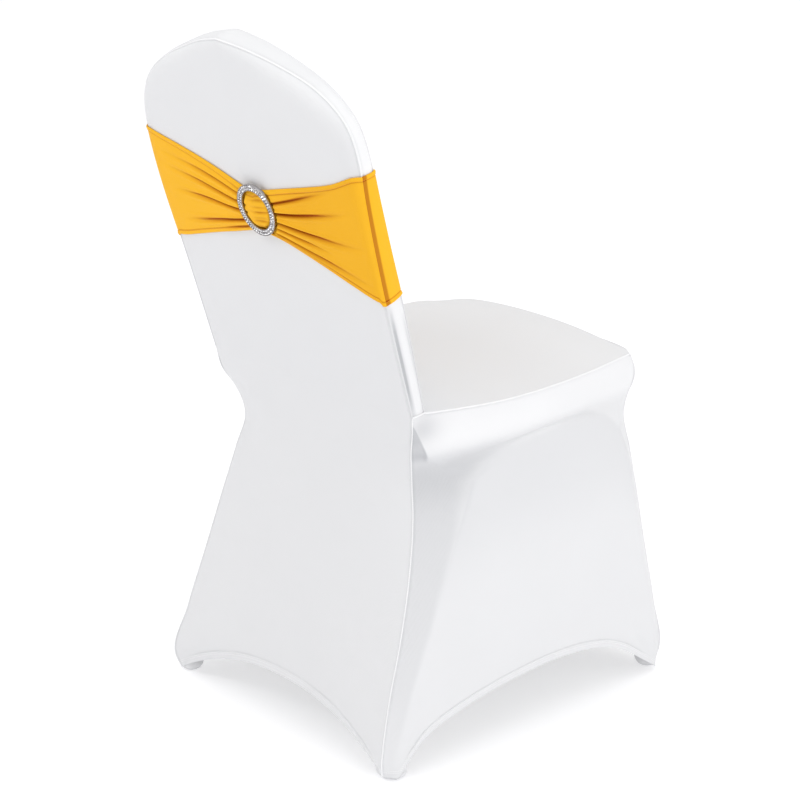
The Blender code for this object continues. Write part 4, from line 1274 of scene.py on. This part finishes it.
@dataclass
class FootPocket:
    """Small cup of the cover's cloth that takes the tip of a chair leg."""

    name: str
    centre: Pair
    reach: float
    cap: float = 31.0 * MM
    gap: float = 1.6 * MM
    lip: float = 0.1 * MM
    tuck: float = 1.2 * MM
    lap: float = 3.0 * MM
    # Share by which the wall leans in, and the heights over which it does.
    draw_in: float = 0.24
    draw_z: Pair = (0.012, 0.034)
    gathers: int = 11
    gather: float = 0.35 * MM
    rings: int = 20
    sides: int = 96
    wall: float = 1.2 * MM
    tone: float = 0.30
    # Painted shadow darkens the sole, and pales over these heights.
    sole_shadow: float = 0.60
    sole_shadow_z: Pair = (0.5 * MM, 6.5 * MM)
    # Outline of the cup from the middle of its sole to its rim: share of the
    # reach against height in mm.
    out: Row = (0.0, 0.15, 0.28, 0.40, 0.52, 0.64, 0.76, 0.87, 0.95, 1.0)
    rise: Row = (0.0, 0.0, 0.0, 0.1, 0.5, 1.3, 2.7, 5.0, 7.8, 10.9)

    def hem(self, cover: Cover) -> Array:
        """The hem's edge on both sides of the foot, as one line."""
        rear = self.centre[1] > 0
        side = cover.pattern.side[0, ::1 if rear else -1]
        skirt = (cover.rear_half if rear else cover.front_half)[0]
        line = np.concatenate([skirt[::-1], side[1:len(side) // 2]])
        return mirrored(line) if self.centre[0] > 0 else line

    def hit(self, hem: Array, ray: Array) -> Pair:
        """Distance and height at which a level ray from the foot meets the hem."""
        side = (hem[:, :2] - self.centre) @ np.array([-ray[1], ray[0]])
        for a in np.flatnonzero((side[:-1] * side[1:] <= 0) & (side[:-1] != side[1:])):
            spot = blend(hem[a], hem[a + 1], side[a] / (side[a] - side[a + 1]))
            reach = float((spot[:2] - self.centre) @ ray)
            if 0 < reach < 2 * self.reach:
                return reach, float(spot[2])
        return math.inf, math.inf

    def profile(self, hem: Array, heading: float) -> Array:
        """The cup's wall at one heading, from the middle of its sole to its rim."""
        ray = np.array([math.cos(heading), math.sin(heading)])
        reach, height = self.hit(hem, ray)
        radius, lip = min(reach - self.gap, self.reach), min(reach + self.lip, self.reach)
        below, top = min(height - self.tuck, self.cap), min(height + self.lap, self.cap)
        gather = self.gather * (1 + math.cos(self.gathers * heading)) / 2
        line = [(lip * o - gather * o**3, z * MM)
                for o, z in zip(self.out, self.rise) if z * MM < below - 1.5 * MM]
        high = np.linspace(min(below - 0.7 * MM, 11.6 * MM), top, 6)
        lean = 1 - self.draw_in * soft_step(high, *self.draw_z)
        line += list(zip(radius * lean - gather, high))
        points = np.array([(*(ray * r + self.centre), z) for r, z in line])
        run = travelled(points)
        even = np.linspace(0, 1, self.rings) * run[-1]
        return np.stack([np.interp(even, run, points[:, a]) for a in range(3)], axis=1)

    def build(self, cover: Cover, material: bpy.types.Material) -> bpy.types.Object:
        """Makes the cup, softly gathered towards its rim."""
        hem, turn = self.hem(cover), math.tau * np.arange(self.sides) / self.sides
        grid = np.stack([self.profile(hem, float(heading)) for heading in turn], axis=1)
        up = travelled(grid)
        # Painted shadow under the cup's sole.
        sole = 1 - soft_step(grid[..., 2], *self.sole_shadow_z)
        thing = new_piece(
            self.name + "_cloth", grid, grid_faces(*grid.shape[:2], True, closed=True), material,
            Slot.COVER, self.name, wall=self.wall, painted_shade=self.tone + self.sole_shadow * sole,
            uv=np.stack([np.broadcast_to(turn * self.reach, up.shape), up], axis=-1))
        return thing


POCKETS = (
    FootPocket("foot_pocket_rear_left", (0.2140, 0.2385), 17.5 * MM),
    FootPocket("foot_pocket_rear_right", (-0.2140, 0.2385), 20.5 * MM),
    FootPocket("foot_pocket_front_left", (0.2060, -0.2530), 18.5 * MM),
    FootPocket("foot_pocket_front_right", (-0.2060, -0.2530), 17.5 * MM),
)


# ---------------------------------------------------------------- ring slider
@dataclass(frozen=True)
class Ring:
    """Place and size of the slider on the leaning back."""

    x: float = -0.0125
    along: float = 0.2555
    outer: float = 0.0347
    width: float = 0.0085
    thick: float = 0.0046
    off: float = 0.0050

    @property
    def middle(self) -> float:
        """Radius of the middle of the ring's width."""
        return self.outer - self.width / 2

    def frame(self, pattern: CoverPattern) -> tuple[Array, Array, Array]:
        """Centre on the rear plane, the plane's upward and its outward direction."""
        rise = unit(np.array([0.0, pattern.back_lean, 1.0]))
        z = pattern.seat_z + self.along * rise[2]
        centre = np.array([self.x, pattern.rear_plane(z) + pattern.back_bulge, z])
        return centre, rise, np.array([0.0, rise[2], -rise[1]])

    def circle(self, pattern: CoverPattern, radius: float, lift: float, steps: int) -> Path:
        """A closed circle round the slider at a radius and height."""
        centre, rise, out = self.frame(pattern)
        turn = np.linspace(0, math.tau, steps + 1)[:, None]
        points = centre + out * lift + SIDEWAYS * np.cos(turn) * radius
        points = points + rise * np.sin(turn) * radius
        return Path(points, np.broadcast_to(out, points.shape).copy())


@dataclass
class RingSlider:
    """Plated ring with two rows of cut stones between beaded rims."""

    ring: Ring
    pattern: CoverPattern
    segments: int = 144
    stone: float = 3.3 * MM
    stone_height: float = 2.6 * MM
    stone_gap: float = 0.25 * MM
    stone_turn: float = 0.16
    bead: float = 0.85 * MM
    bead_pitch: float = 1.25 * MM
    circle_steps: int = 720
    rim: float = 0.6 * MM
    well: float = 1.1 * MM

    def section(self) -> list[Pair]:
        """Section of the casting: across the ring's width against height."""
        half, thick = self.ring.width / 2, self.ring.thick
        floor, foot, ridge = thick - self.well, 0.3 * thick, thick - self.well + 0.5 * MM
        outer, inner = thick - 0.3 * MM, self.rim + 0.1 * MM
        return [
            (half, foot), (half, outer), (half - 0.2 * MM, thick), (half - self.rim, thick),
            (half - inner, floor), (0.3 * MM, floor), (0.1 * MM, ridge), (-0.1 * MM, ridge),
            (-0.3 * MM, floor), (inner - half, floor), (self.rim - half, thick),
            (0.2 * MM - half, thick), (-half, outer), (-half, foot), (-half * 0.8, 0.0),
            (half * 0.8, 0.0),
        ]

    def build(self) -> bpy.types.Object:
        """Casts the ring and sets its stones and beads."""
        ring, section = self.ring, self.section()
        centre, rise, out = ring.frame(self.pattern)
        turn = np.arange(self.segments)[:, None] * math.tau / self.segments
        radial = SIDEWAYS * np.cos(turn) + rise * np.sin(turn)
        points = np.array([[centre + r * (ring.middle + u) + out * (ring.off + v)
                            for u, v in section] for r in radial])
        faces = []
        for i in range(self.segments):
            a, b = (n % self.segments * len(section) for n in (i, i + 1))
            for k in range(len(section)):
                m = (k + 1) % len(section)
                faces.append((a + k, a + m, b + m, b + k))
        plate, glass = SLIDER_PLATE.material(), SLIDER_STONE.material()
        thing = new_piece("slider_ring", points, faces, plate, Slot.SLIDER, "ring_slider")
        thing.data.set_sharp_from_angle(angle=math.radians(35))
        top = ring.off + ring.thick
        row = ring.width / 4 - 0.05 * MM
        for number, radius in enumerate((ring.middle - row, ring.middle + row)):
            count = int(math.tau * radius / (self.stone + self.stone_gap))
            path = ring.circle(self.pattern, radius, top - self.well + 0.2 * MM, count * 12)
            stones = Repeat(f"stones_row_{number + 1}", math.tau * radius / count,
                            (self.stone, self.stone, self.stone_height), True,
                            self.stone_turn, 11 + number)
            stones.along([path], glass, Slot.SLIDER)
            LOG.info("slider: a row of %d stones", count)
        rims = (ring.outer - self.rim / 2, ring.outer - ring.width + self.rim / 2)
        beads = Repeat("milled_beads", self.bead_pitch, (self.bead,) * 3)
        lines = [ring.circle(self.pattern, radius, top, self.circle_steps) for radius in rims]
        beads.along(lines, plate, Slot.SLIDER)
        return thing


# ------------------------------------------------------------------------ sash
@dataclass(frozen=True)
class Fold:
    """A trough that runs out of the ring, with a soft ridge along each side.

    Attributes:
        side: the half of the back that it lies on.
        away: distances from the ring's centre, in mm.
        across: its place at each distance, 0 at the band's foot, 1 at its top.
        deep_mm, wide_mm: depth of the trough and its half width.
        fade: share of its length after which it dies out.
    """

    side: Side
    away: Row
    across: Row
    deep_mm: float
    wide_mm: float
    fade: float = 0.35

    def relief(self, x: float, across: Array, height: float, ring_x: float) -> tuple[Array, Array]:
        """How far the trough and its ridges move the cloth, and the shade painted in the trough.
        """
        away = self.side.value * (x - ring_x) / MM
        first, last = self.away[0], self.away[-1]
        gap = (across - smooth_at(self.away, self.across, away)) * height / MM
        share = soft_step(away, first, last)
        spread, fine = self.wide_mm * (0.75 + 0.5 * share), self.wide_mm * (0.62 - 0.30 * share)
        trough = np.exp(-np.abs(gap / spread) ** 1.5)
        core = 0.85 * np.exp(-np.abs(gap / fine) ** 1.5) + 0.30 * trough
        ridges = hump(gap, 1.9 * spread, spread) + hump(gap, -1.9 * spread, spread)
        live = soft_step(away, first - 9, first + 3)
        live = live * (1 - soft_step(away, towards(first, last, self.fade), last + 8))
        return self.deep_mm * MM * live * (0.42 * ridges - trough), live**1.5 * core


@dataclass(frozen=True)
class Station:
    """Place of one column of the band.

    Attributes:
        x: place across the chair.
        share: share of the gusset's depth, 0 on the rear and 1 on the front.
        heading: degrees that it faces off the rear; negative on the flats.
        side: sign of the half that it lies on.
    """

    x: float
    share: float
    heading: float
    side: float


@dataclass
class Sash:
    """Stretch band round the back, gathered through the ring slider."""

    ring: Ring
    pattern: CoverPattern
    cloth: float = 0.9 * MM
    rest_gap: float = 0.5 * MM
    stand_off: float = 0.012
    puff: float = 7.2 * MM
    puff_reach: float = 0.110
    bar_rise: float = 2.5 * MM
    bar_wide: float = 0.018
    # Stand-off of the cloth under the ring, how far the ring grips it on each
    # side of its own middle in widths, and how fast it rises beyond.
    pressed: float = 2.7 * MM
    grip: float = 0.58
    spring: float = 1.6
    # Rise over the cover's seams, and where it starts and ends across the chair.
    over_seam: float = 0.6 * MM
    rear_seam_x: Pair = (0.190, 0.200)
    front_seam_x: Pair = (0.178, 0.190)
    # Painted shade of the right half, which sets in over these distances from the ring, and the
    # depth in mm of a fold that has a whole fold's painted shade.
    right_tone: float = 0.10
    right_from: Pair = (0.02, 0.10)
    fold_mm: float = 4.2
    pleat: float = 0.9 * MM
    pleat_count: float = 6.5
    # Grooves inside the ring: breadth, reach of their depth and of their painted shade.
    groove_wide: float = 1.7 * MM
    groove_reach: float = 0.026
    groove_shade: float = 0.022
    groove_tone: float = 0.32
    drag: float = 0.9 * MM
    hem: float = 6.0 * MM
    stitch_in: float = 0.6 * MM
    middle_rows: int = 84
    # Places beside a hem, in mm, where the cloth needs close rows; the last one
    # is the first of the even rows.
    by_hem_mm: Row = (0.0, 0.5, 1.0, 1.6, 2.4, 3.4, 4.4, 5.2, 5.8, 6.3, 6.9, 7.6, 8.6)
    # Edges of the band on the rear: distance from the ring's centre against height.
    away: Row = (0.000, 0.022, 0.045, 0.070, 0.100, 0.150, 0.195, 0.2255)
    top_left: Row = (0.7395, 0.7410, 0.7480, 0.7560, 0.7642, 0.7755, 0.7835, 0.7874)
    top_right: Row = (0.7410, 0.7450, 0.7500, 0.7555, 0.7620, 0.7740, 0.7890, 0.7945)
    bottom_left: Row = (0.6850, 0.6832, 0.6778, 0.6718, 0.6647, 0.6520, 0.6405, 0.6352)
    bottom_right: Row = (0.6845, 0.6810, 0.6758, 0.6685, 0.6590, 0.6421, 0.6273, 0.6245)
    # Its edges in front; the top slopes down a little towards the left.
    ahead: Pair = (0.6340, 0.7960)
    ahead_slope: float = 0.0045
    # Turn over the gusset: heading in degrees (0 rearward, 90 sideways), and the
    # share of the gusset's depth.
    turn_heading: Row = (12, 40, 70, 86, 90, 94, 105, 130, 152)
    turn_share: Row = (0.0, 0.0, 0.0, 0.25, 0.5, 0.75, 1.0, 1.0, 1.0)
    folds: tuple[Fold, ...] = (
        Fold(Side.RIGHT, (26, 60, 100, 150), (0.74, 0.81, 0.88, 0.94), 4.2, 2.6),
        Fold(Side.RIGHT, (26, 60, 110, 175), (0.565, 0.60, 0.665, 0.73), 5.8, 2.5),
        Fold(Side.RIGHT, (26, 70, 120, 195), (0.41, 0.39, 0.40, 0.44), 4.6, 2.7),
        Fold(Side.RIGHT, (30, 55, 85, 130), (0.29, 0.27, 0.26, 0.26), 3.6, 2.1),
        Fold(Side.RIGHT, (28, 70, 130, 200), (0.15, 0.13, 0.125, 0.12), 4.0, 2.6),
        Fold(Side.LEFT, (26, 60, 100, 205), (0.80, 0.81, 0.815, 0.83), 3.0, 2.6),
        Fold(Side.LEFT, (26, 60, 100, 205), (0.63, 0.635, 0.65, 0.70), 4.6, 2.5),
        Fold(Side.LEFT, (26, 55, 90, 185), (0.465, 0.45, 0.455, 0.475), 4.4, 2.3, 0.55),
        Fold(Side.LEFT, (26, 60, 100, 180), (0.27, 0.215, 0.18, 0.165), 4.6, 2.5, 0.55),
        Fold(Side.LEFT, (26, 45, 70, 100), (0.12, 0.10, 0.08, 0.07), 2.6, 2.1),
    )
    # Grooves of the gathered cloth inside the ring: place across, depth in mm.
    grooves: tuple[Pair, ...] = (
        (0.90, 1.0), (0.81, 2.0), (0.67, 1.3), (0.56, 2.2), (0.43, 1.0), (0.35, 2.0),
        (0.22, 1.5), (0.11, 1.1))

    def columns(self) -> list[Station]:
        """Columns of the band, from its rear left end round by the right.

        They stand close by the ring and at the turn over the gusset.
        """
        offsets = np.concatenate([np.arange(0.0, 0.046, 0.0011), np.arange(0.048, 0.12, 0.0020),
                                  np.arange(0.1225, 0.2150, 0.0030)])
        rear = np.concatenate([self.ring.x + offsets[:0:-1], self.ring.x - offsets])
        found = [Station(float(x), 0.0, -1.0, math.copysign(1, x))
                 for x in rear[np.abs(rear) < 0.2045]]
        heading = np.concatenate([np.arange(12, 86, 4.0), np.arange(86, 94.1, 0.5),
                                  np.arange(97, 153, 5.0)])
        share = np.interp(heading, self.turn_heading, self.turn_share)
        for side in (-1.0, 1.0):
            half = [Station(side * self.away[-1], float(s), float(h), side)
                    for h, s in zip(heading, share)]
            half += [Station(side * float(x), 1.0, -1.0, side)
                     for x in np.arange(0.190, 0.0, -0.006)]
            found += half if side < 0 else half[::-1]
        return found

    def edges(self, at: Station) -> Pair:
        """Bottom and top height of the band at a column."""
        left = at.x > self.ring.x
        rows = (self.bottom_left, self.top_left) if left else (self.bottom_right, self.top_right)
        low, high = (float(smooth_at(self.away, row, abs(at.x - self.ring.x))) for row in rows)
        level = self.ahead[1] - self.ahead_slope * float(soft_step(at.x, -0.18, 0.20))
        return towards(low, self.ahead[0], at.share), towards(high, level, at.share)

    def across(self, height: float) -> Array:
        """Places of the rows: close beside both hems, even between them."""
        *near, first = np.array(self.by_hem_mm) * MM / height
        middle = np.linspace(first, 1 - first, self.middle_rows)
        return np.concatenate([near, middle, 1 - np.array(near[::-1])])

    def pleats(self, past: float, across: Array) -> Array:
        """Height of the fine gathers beside the ring."""
        phase = 0.4 * math.sin(abs(past) / 0.03) + (past < 0) * 0.3
        pleat = np.sin(math.tau * (across * self.pleat_count + phase))
        pleat *= 0.6 + 0.4 * np.sin(math.tau * 2.3 * across + 1.0)
        return self.pleat * pleat * hump(abs(past), 0.036, 0.020) * np.sin(math.pi * across)

    def drawn_in(self, past: float, across: Array, height: float) -> Array:
        """Depth in mm of the grooves inside the ring."""
        lean = -past / 0.024
        depth = np.zeros_like(across)
        for place, deep in self.grooves:
            line = place + 0.012 * math.sin(9 * place + 2.2 * lean) - 0.010 * lean
            depth += deep * np.exp(-np.abs((across - line) * height / self.groove_wide) ** 1.4)
        # They are deep beside the slider's right rim and die out leftwards.
        return depth * (0.15 + 0.85 * float(soft_step(past, -0.014, 0.012)))

    def room(self, x: float, z: Array) -> Array:
        """How far the cloth may stand off: the ring presses it down under its width."""
        centre, rise, _ = self.ring.frame(self.pattern)
        flat = xyz(x, self.pattern.rear_plane(z) + self.pattern.back_bulge, z) - centre
        off = np.abs(np.hypot(flat[:, 0], flat @ rise) - self.ring.middle)
        return self.pressed + self.spring * np.maximum(off - self.grip * self.ring.width, 0)

    def gathered(self, x: float, across: Array, height: float, z: Array) -> tuple[Array, Array]:
        """How far the rear of the band stands off the cover, and its painted shade.

        Args:
            x: place of the column.
            across: places of its rows, 0 at the band's foot and 1 at its top.
            height: breadth of the band there.
            z: heights of the rows.

        Returns:
            The stand-off and the painted shade of each row.
        """
        past = self.ring.x - x
        away = abs(past)
        relief = self.puff * hump(away, 0, self.puff_reach)
        relief += self.bar_rise * hump(away, 0, self.bar_wide)
        relief = relief * (1 - (2 * across - 1) ** 4)
        # Painted shade: a darker right half, the fold troughs and the grooves inside the ring.
        tone = self.right_tone * soft_step(past, *self.right_from)
        for fold in self.folds:
            stand, reach = fold.relief(x, across, height, self.ring.x)
            relief, tone = relief + stand, tone + fold.deep_mm / self.fold_mm * reach
        groove = self.drawn_in(past, across, height)
        relief = relief + self.pleats(past, across)
        relief = relief - groove * MM * hump(away, 0, self.groove_reach)
        tone = tone + self.groove_tone * groove * hump(away, 0, self.groove_shade)
        over = self.over_seam * float(soft_step(abs(x), *self.rear_seam_x))
        return np.minimum(np.maximum(relief, 0), self.room(x, z)) + over, tone

    def hem_relief(self, across: Array, height: float) -> tuple[Array, Array]:
        """Rolled hems: stand-off and painted shade along a column."""
        inward = np.minimum(across, 1 - across) * height
        fold = inward - self.hem
        stand = 0.6 * MM * (1 - soft_step(fold, -0.9 * MM, 0.3 * MM))
        stand += 0.5 * MM * hump(inward, 2.2 * MM, 1.3 * MM)
        stand -= 0.7 * MM * hump(inward, 0.0, 1.0 * MM)
        stand -= 0.5 * MM * hump(fold, 0.4 * MM, 0.8 * MM)
        # Painted shade along the hem's fold line.
        return stand, 0.42 * hump(fold, 0.3 * MM, 0.7 * MM)

    def relief(self, at: Station, across: Array, height: float, z: Array) -> tuple[Array, Array]:
        """How far a column stands off the cover, and its painted shade."""
        stand, shade = self.hem_relief(across, height)
        if at.heading >= 0:
            seams = 1 - soft_step(at.share, 0.02, 0.30) + 0.6 * soft_step(at.share, 0.75, 0.98)
            # Painted shade of a soft groove just past the gusset's rear seam, weaker on the left
            # half; the cloth is not sunk there.
            groove = soft_step(at.heading, 56, 68) * (1 - soft_step(at.share, 0.17, 0.27))
            groove = 0.66 * groove + 0.25 * hump(at.heading, 66, 5)
            return stand + self.over_seam * seams, shade + groove * (1.0 if at.side < 0 else 0.6)
        if at.share == 0.0:
            swell, tone = self.gathered(at.x, across, height, z)
            return stand + swell, shade + tone
        drag = hump(across, 0.34 + 0.03 * math.sin(11 * at.x), 0.05)
        drag += 0.7 * hump(across, 0.66 + 0.04 * math.sin(8 * at.x + 1), 0.04)
        stand = stand + self.drag * drag * (1 - soft_step(abs(at.x), 0.10, 0.185))
        over = 0.6 * self.over_seam * float(soft_step(abs(at.x), *self.front_seam_x))
        return stand + over, shade

    def behind(self, at: Station, z: Array) -> tuple[Array, Array]:
        """Points of the chair's back under a column, and the way that they face."""
        rear_out = unit(np.array([0.0, 1.0, -self.pattern.back_lean]))
        if at.heading >= 0:
            back, angle = BACK.read(z, by_height=True), math.radians(at.heading)
            wide = at.side * (back["half_width"] - at.share * back["inset"])
            out = at.side * math.sin(angle) * SIDEWAYS + math.cos(angle) * rear_out
            return xyz(wide, back["y"] - at.share * back["gusset"], z), out
        if at.share:
            return xyz(at.x, self.pattern.front_plane(z), z), -rear_out
        return xyz(at.x, self.pattern.rear_plane(z) + self.pattern.back_bulge, z), rear_out

    def build(self, cover: Cover) -> bpy.types.Object:
        """Lays the band on the cover, gathers it at the ring and sews its hems."""
        points: list[Vector] = []
        faces: list[Face] = []
        for panel in cover.panels.values():
            faces += [tuple(corner + len(points) for corner in quad)
                      for quad in grid_faces(*panel.grid.shape[:2], panel.flip)]
            points += [Vector(p) for p in panel.face.reshape(-1, 3)]
        skin = BVHTree.FromPolygons(points, faces)
        columns = []
        for at in self.columns():
            low, high = self.edges(at)
            height = (high - low) * math.hypot(1.0, self.pattern.back_lean)
            across = self.across(height)
            z = low + (high - low) * across
            base, out = self.behind(at, z)
            targets = base + self.stand_off * out
            spots = np.array([skin.find_nearest(Vector(t))[0] for t in targets])
            away = unit(targets - spots)
            stand, shade = self.relief(at, across, height, z)
            spots = spots + away * (self.rest_gap + self.cloth + stand)[:, None]
            columns.append((spots, away, across * height, shade))
        face, outward, up, shade = (np.stack(part, axis=1) for part in zip(*columns))
        along = np.broadcast_to(travelled(face, axis=1)[len(face) // 2], up.shape)
        thing = new_piece(
            "sash_cloth", face, grid_faces(*face.shape[:2], True, closed=True),
            SASH_KNIT.material(), Slot.SASH, "sash_band", wall=self.cloth, painted_shade=shade,
            uv=np.stack([along, up], axis=-1))
        inset = self.hem - self.stitch_in
        lines = [line_up(face, outward, up, at).moved(STITCH_LIFT)
                 for at in (inset, up[-1] - inset)]
        stitches = SASH_STITCHES.along(lines, SASH_THREAD.material(), Slot.SASH)
        LOG.info("sash: %d points", len(thing.data.vertices))
        return thing


# ---------------------------------------------------------------------- studio
@dataclass(frozen=True)
class Studio:
    """Pale floor, soft light and the camera's place."""

    reach: float = 60.0
    azimuth: float = 228.275
    elevation: float = 18.959
    distance: float = 2.9901
    lens: float = 97.997
    target: Point = (0.0376, -0.031605, 0.3915)
    sky: Pair = (0.62, 0.90)
    haze: float = 0.42
    haze_height: Pair = (0.01, 0.09)
    # Name, place, size in metres and power in watts.
    lamps: tuple[tuple[str, Point, float, float], ...] = (
        ("overhead", (-0.5, 0.3, 3.2), 2.6, 18.0),
        ("right_bank", (-3.2, -0.6, 1.6), 2.0, 22.0),
        ("rear_bank", (0.8, 2.4, 3.0), 1.0, 17.0),
    )

    def ground(self) -> None:
        """Lays the floor."""
        mesh = bpy.data.meshes.new("floor")
        corner = ((-1, -1), (1, -1), (1, 1), (-1, 1))
        points = [(x * self.reach, y * self.reach, 0.0) for x, y in corner]
        mesh.from_pydata(points, [], [(0, 1, 2, 3)])
        mesh.materials.append(FLOOR_SHEET.material())
        add_object("floor", mesh)

    def light(self) -> None:
        """Lights the sky and hangs the soft lamps."""
        world = bpy.data.worlds.new("studio")
        bpy.context.scene.world = world
        world.use_nodes = True
        graph = Graph(world.node_tree)
        sky = world.node_tree.nodes["Background"]
        height = graph.out("ShaderNodeSeparateXYZ", {0: graph.place("Generated")}, pick="Z")
        glow = graph.ranged(height, (0.0, 1.0), self.sky)
        # The far edge of the floor melts into a white rim of the sky.
        haze = graph.ranged(height, self.haze_height, (self.haze, 0.0))
        graph.tree.links.new(graph.calc("ADD", glow, haze), sky.inputs["Strength"])
        sky.inputs["Color"].default_value = WHITE
        for name, place, size, power in self.lamps:
            lamp = bpy.data.lights.new(name, "AREA")
            lamp.shape, lamp.size, lamp.energy = "SQUARE", size, power
            thing = add_object(name, lamp)
            thing.location = place
            aim = Vector((0, 0, 0.5)) - thing.location
            thing.rotation_euler = aim.to_track_quat("-Z", "Y").to_euler()

    def shoot(self) -> None:
        """Sets the camera."""
        lens = bpy.data.cameras.new("camera")
        lens.lens, lens.sensor_width = self.lens, 36.0
        lens.clip_start, lens.clip_end = 0.1, 150.0
        camera = add_object("camera", lens)
        a, e = math.radians(self.azimuth), math.radians(self.elevation)
        back = Vector((math.sin(a) * math.cos(e), -math.cos(a) * math.cos(e), math.sin(e)))
        camera.location = Vector(self.target) + back * self.distance
        camera.rotation_euler = (-back).to_track_quat("-Z", "Y").to_euler()
        bpy.context.scene.camera = camera

    def build(self) -> None:
        """Sets the floor, the lights, the camera and a plain view transform."""
        self.ground()
        self.light()
        self.shoot()
        view = bpy.context.scene.view_settings
        view.view_transform, view.look = "Standard", "None"


def corners(box: tuple[Vector, Vector]) -> list[list[float]]:
    """A box's corners as plain lists."""
    return [list(map(float, corner)) for corner in box]


def main() -> None:
    """Builds the pieces in order."""
    logging.basicConfig(level=logging.INFO, format="%(name)s %(message)s")
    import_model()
    Studio().build()
    pattern, ring = CoverPattern(), Ring()
    cover = Cover(pattern)
    panels = cover.build()
    for pocket in POCKETS:
        pocket.build(cover, panels[0].data.materials[0])
        LOG.info("%s: built", pocket.name)
    Sash(ring, pattern).build(cover)
    RingSlider(ring, pattern).build()


if __name__ == "__main__":
    main()
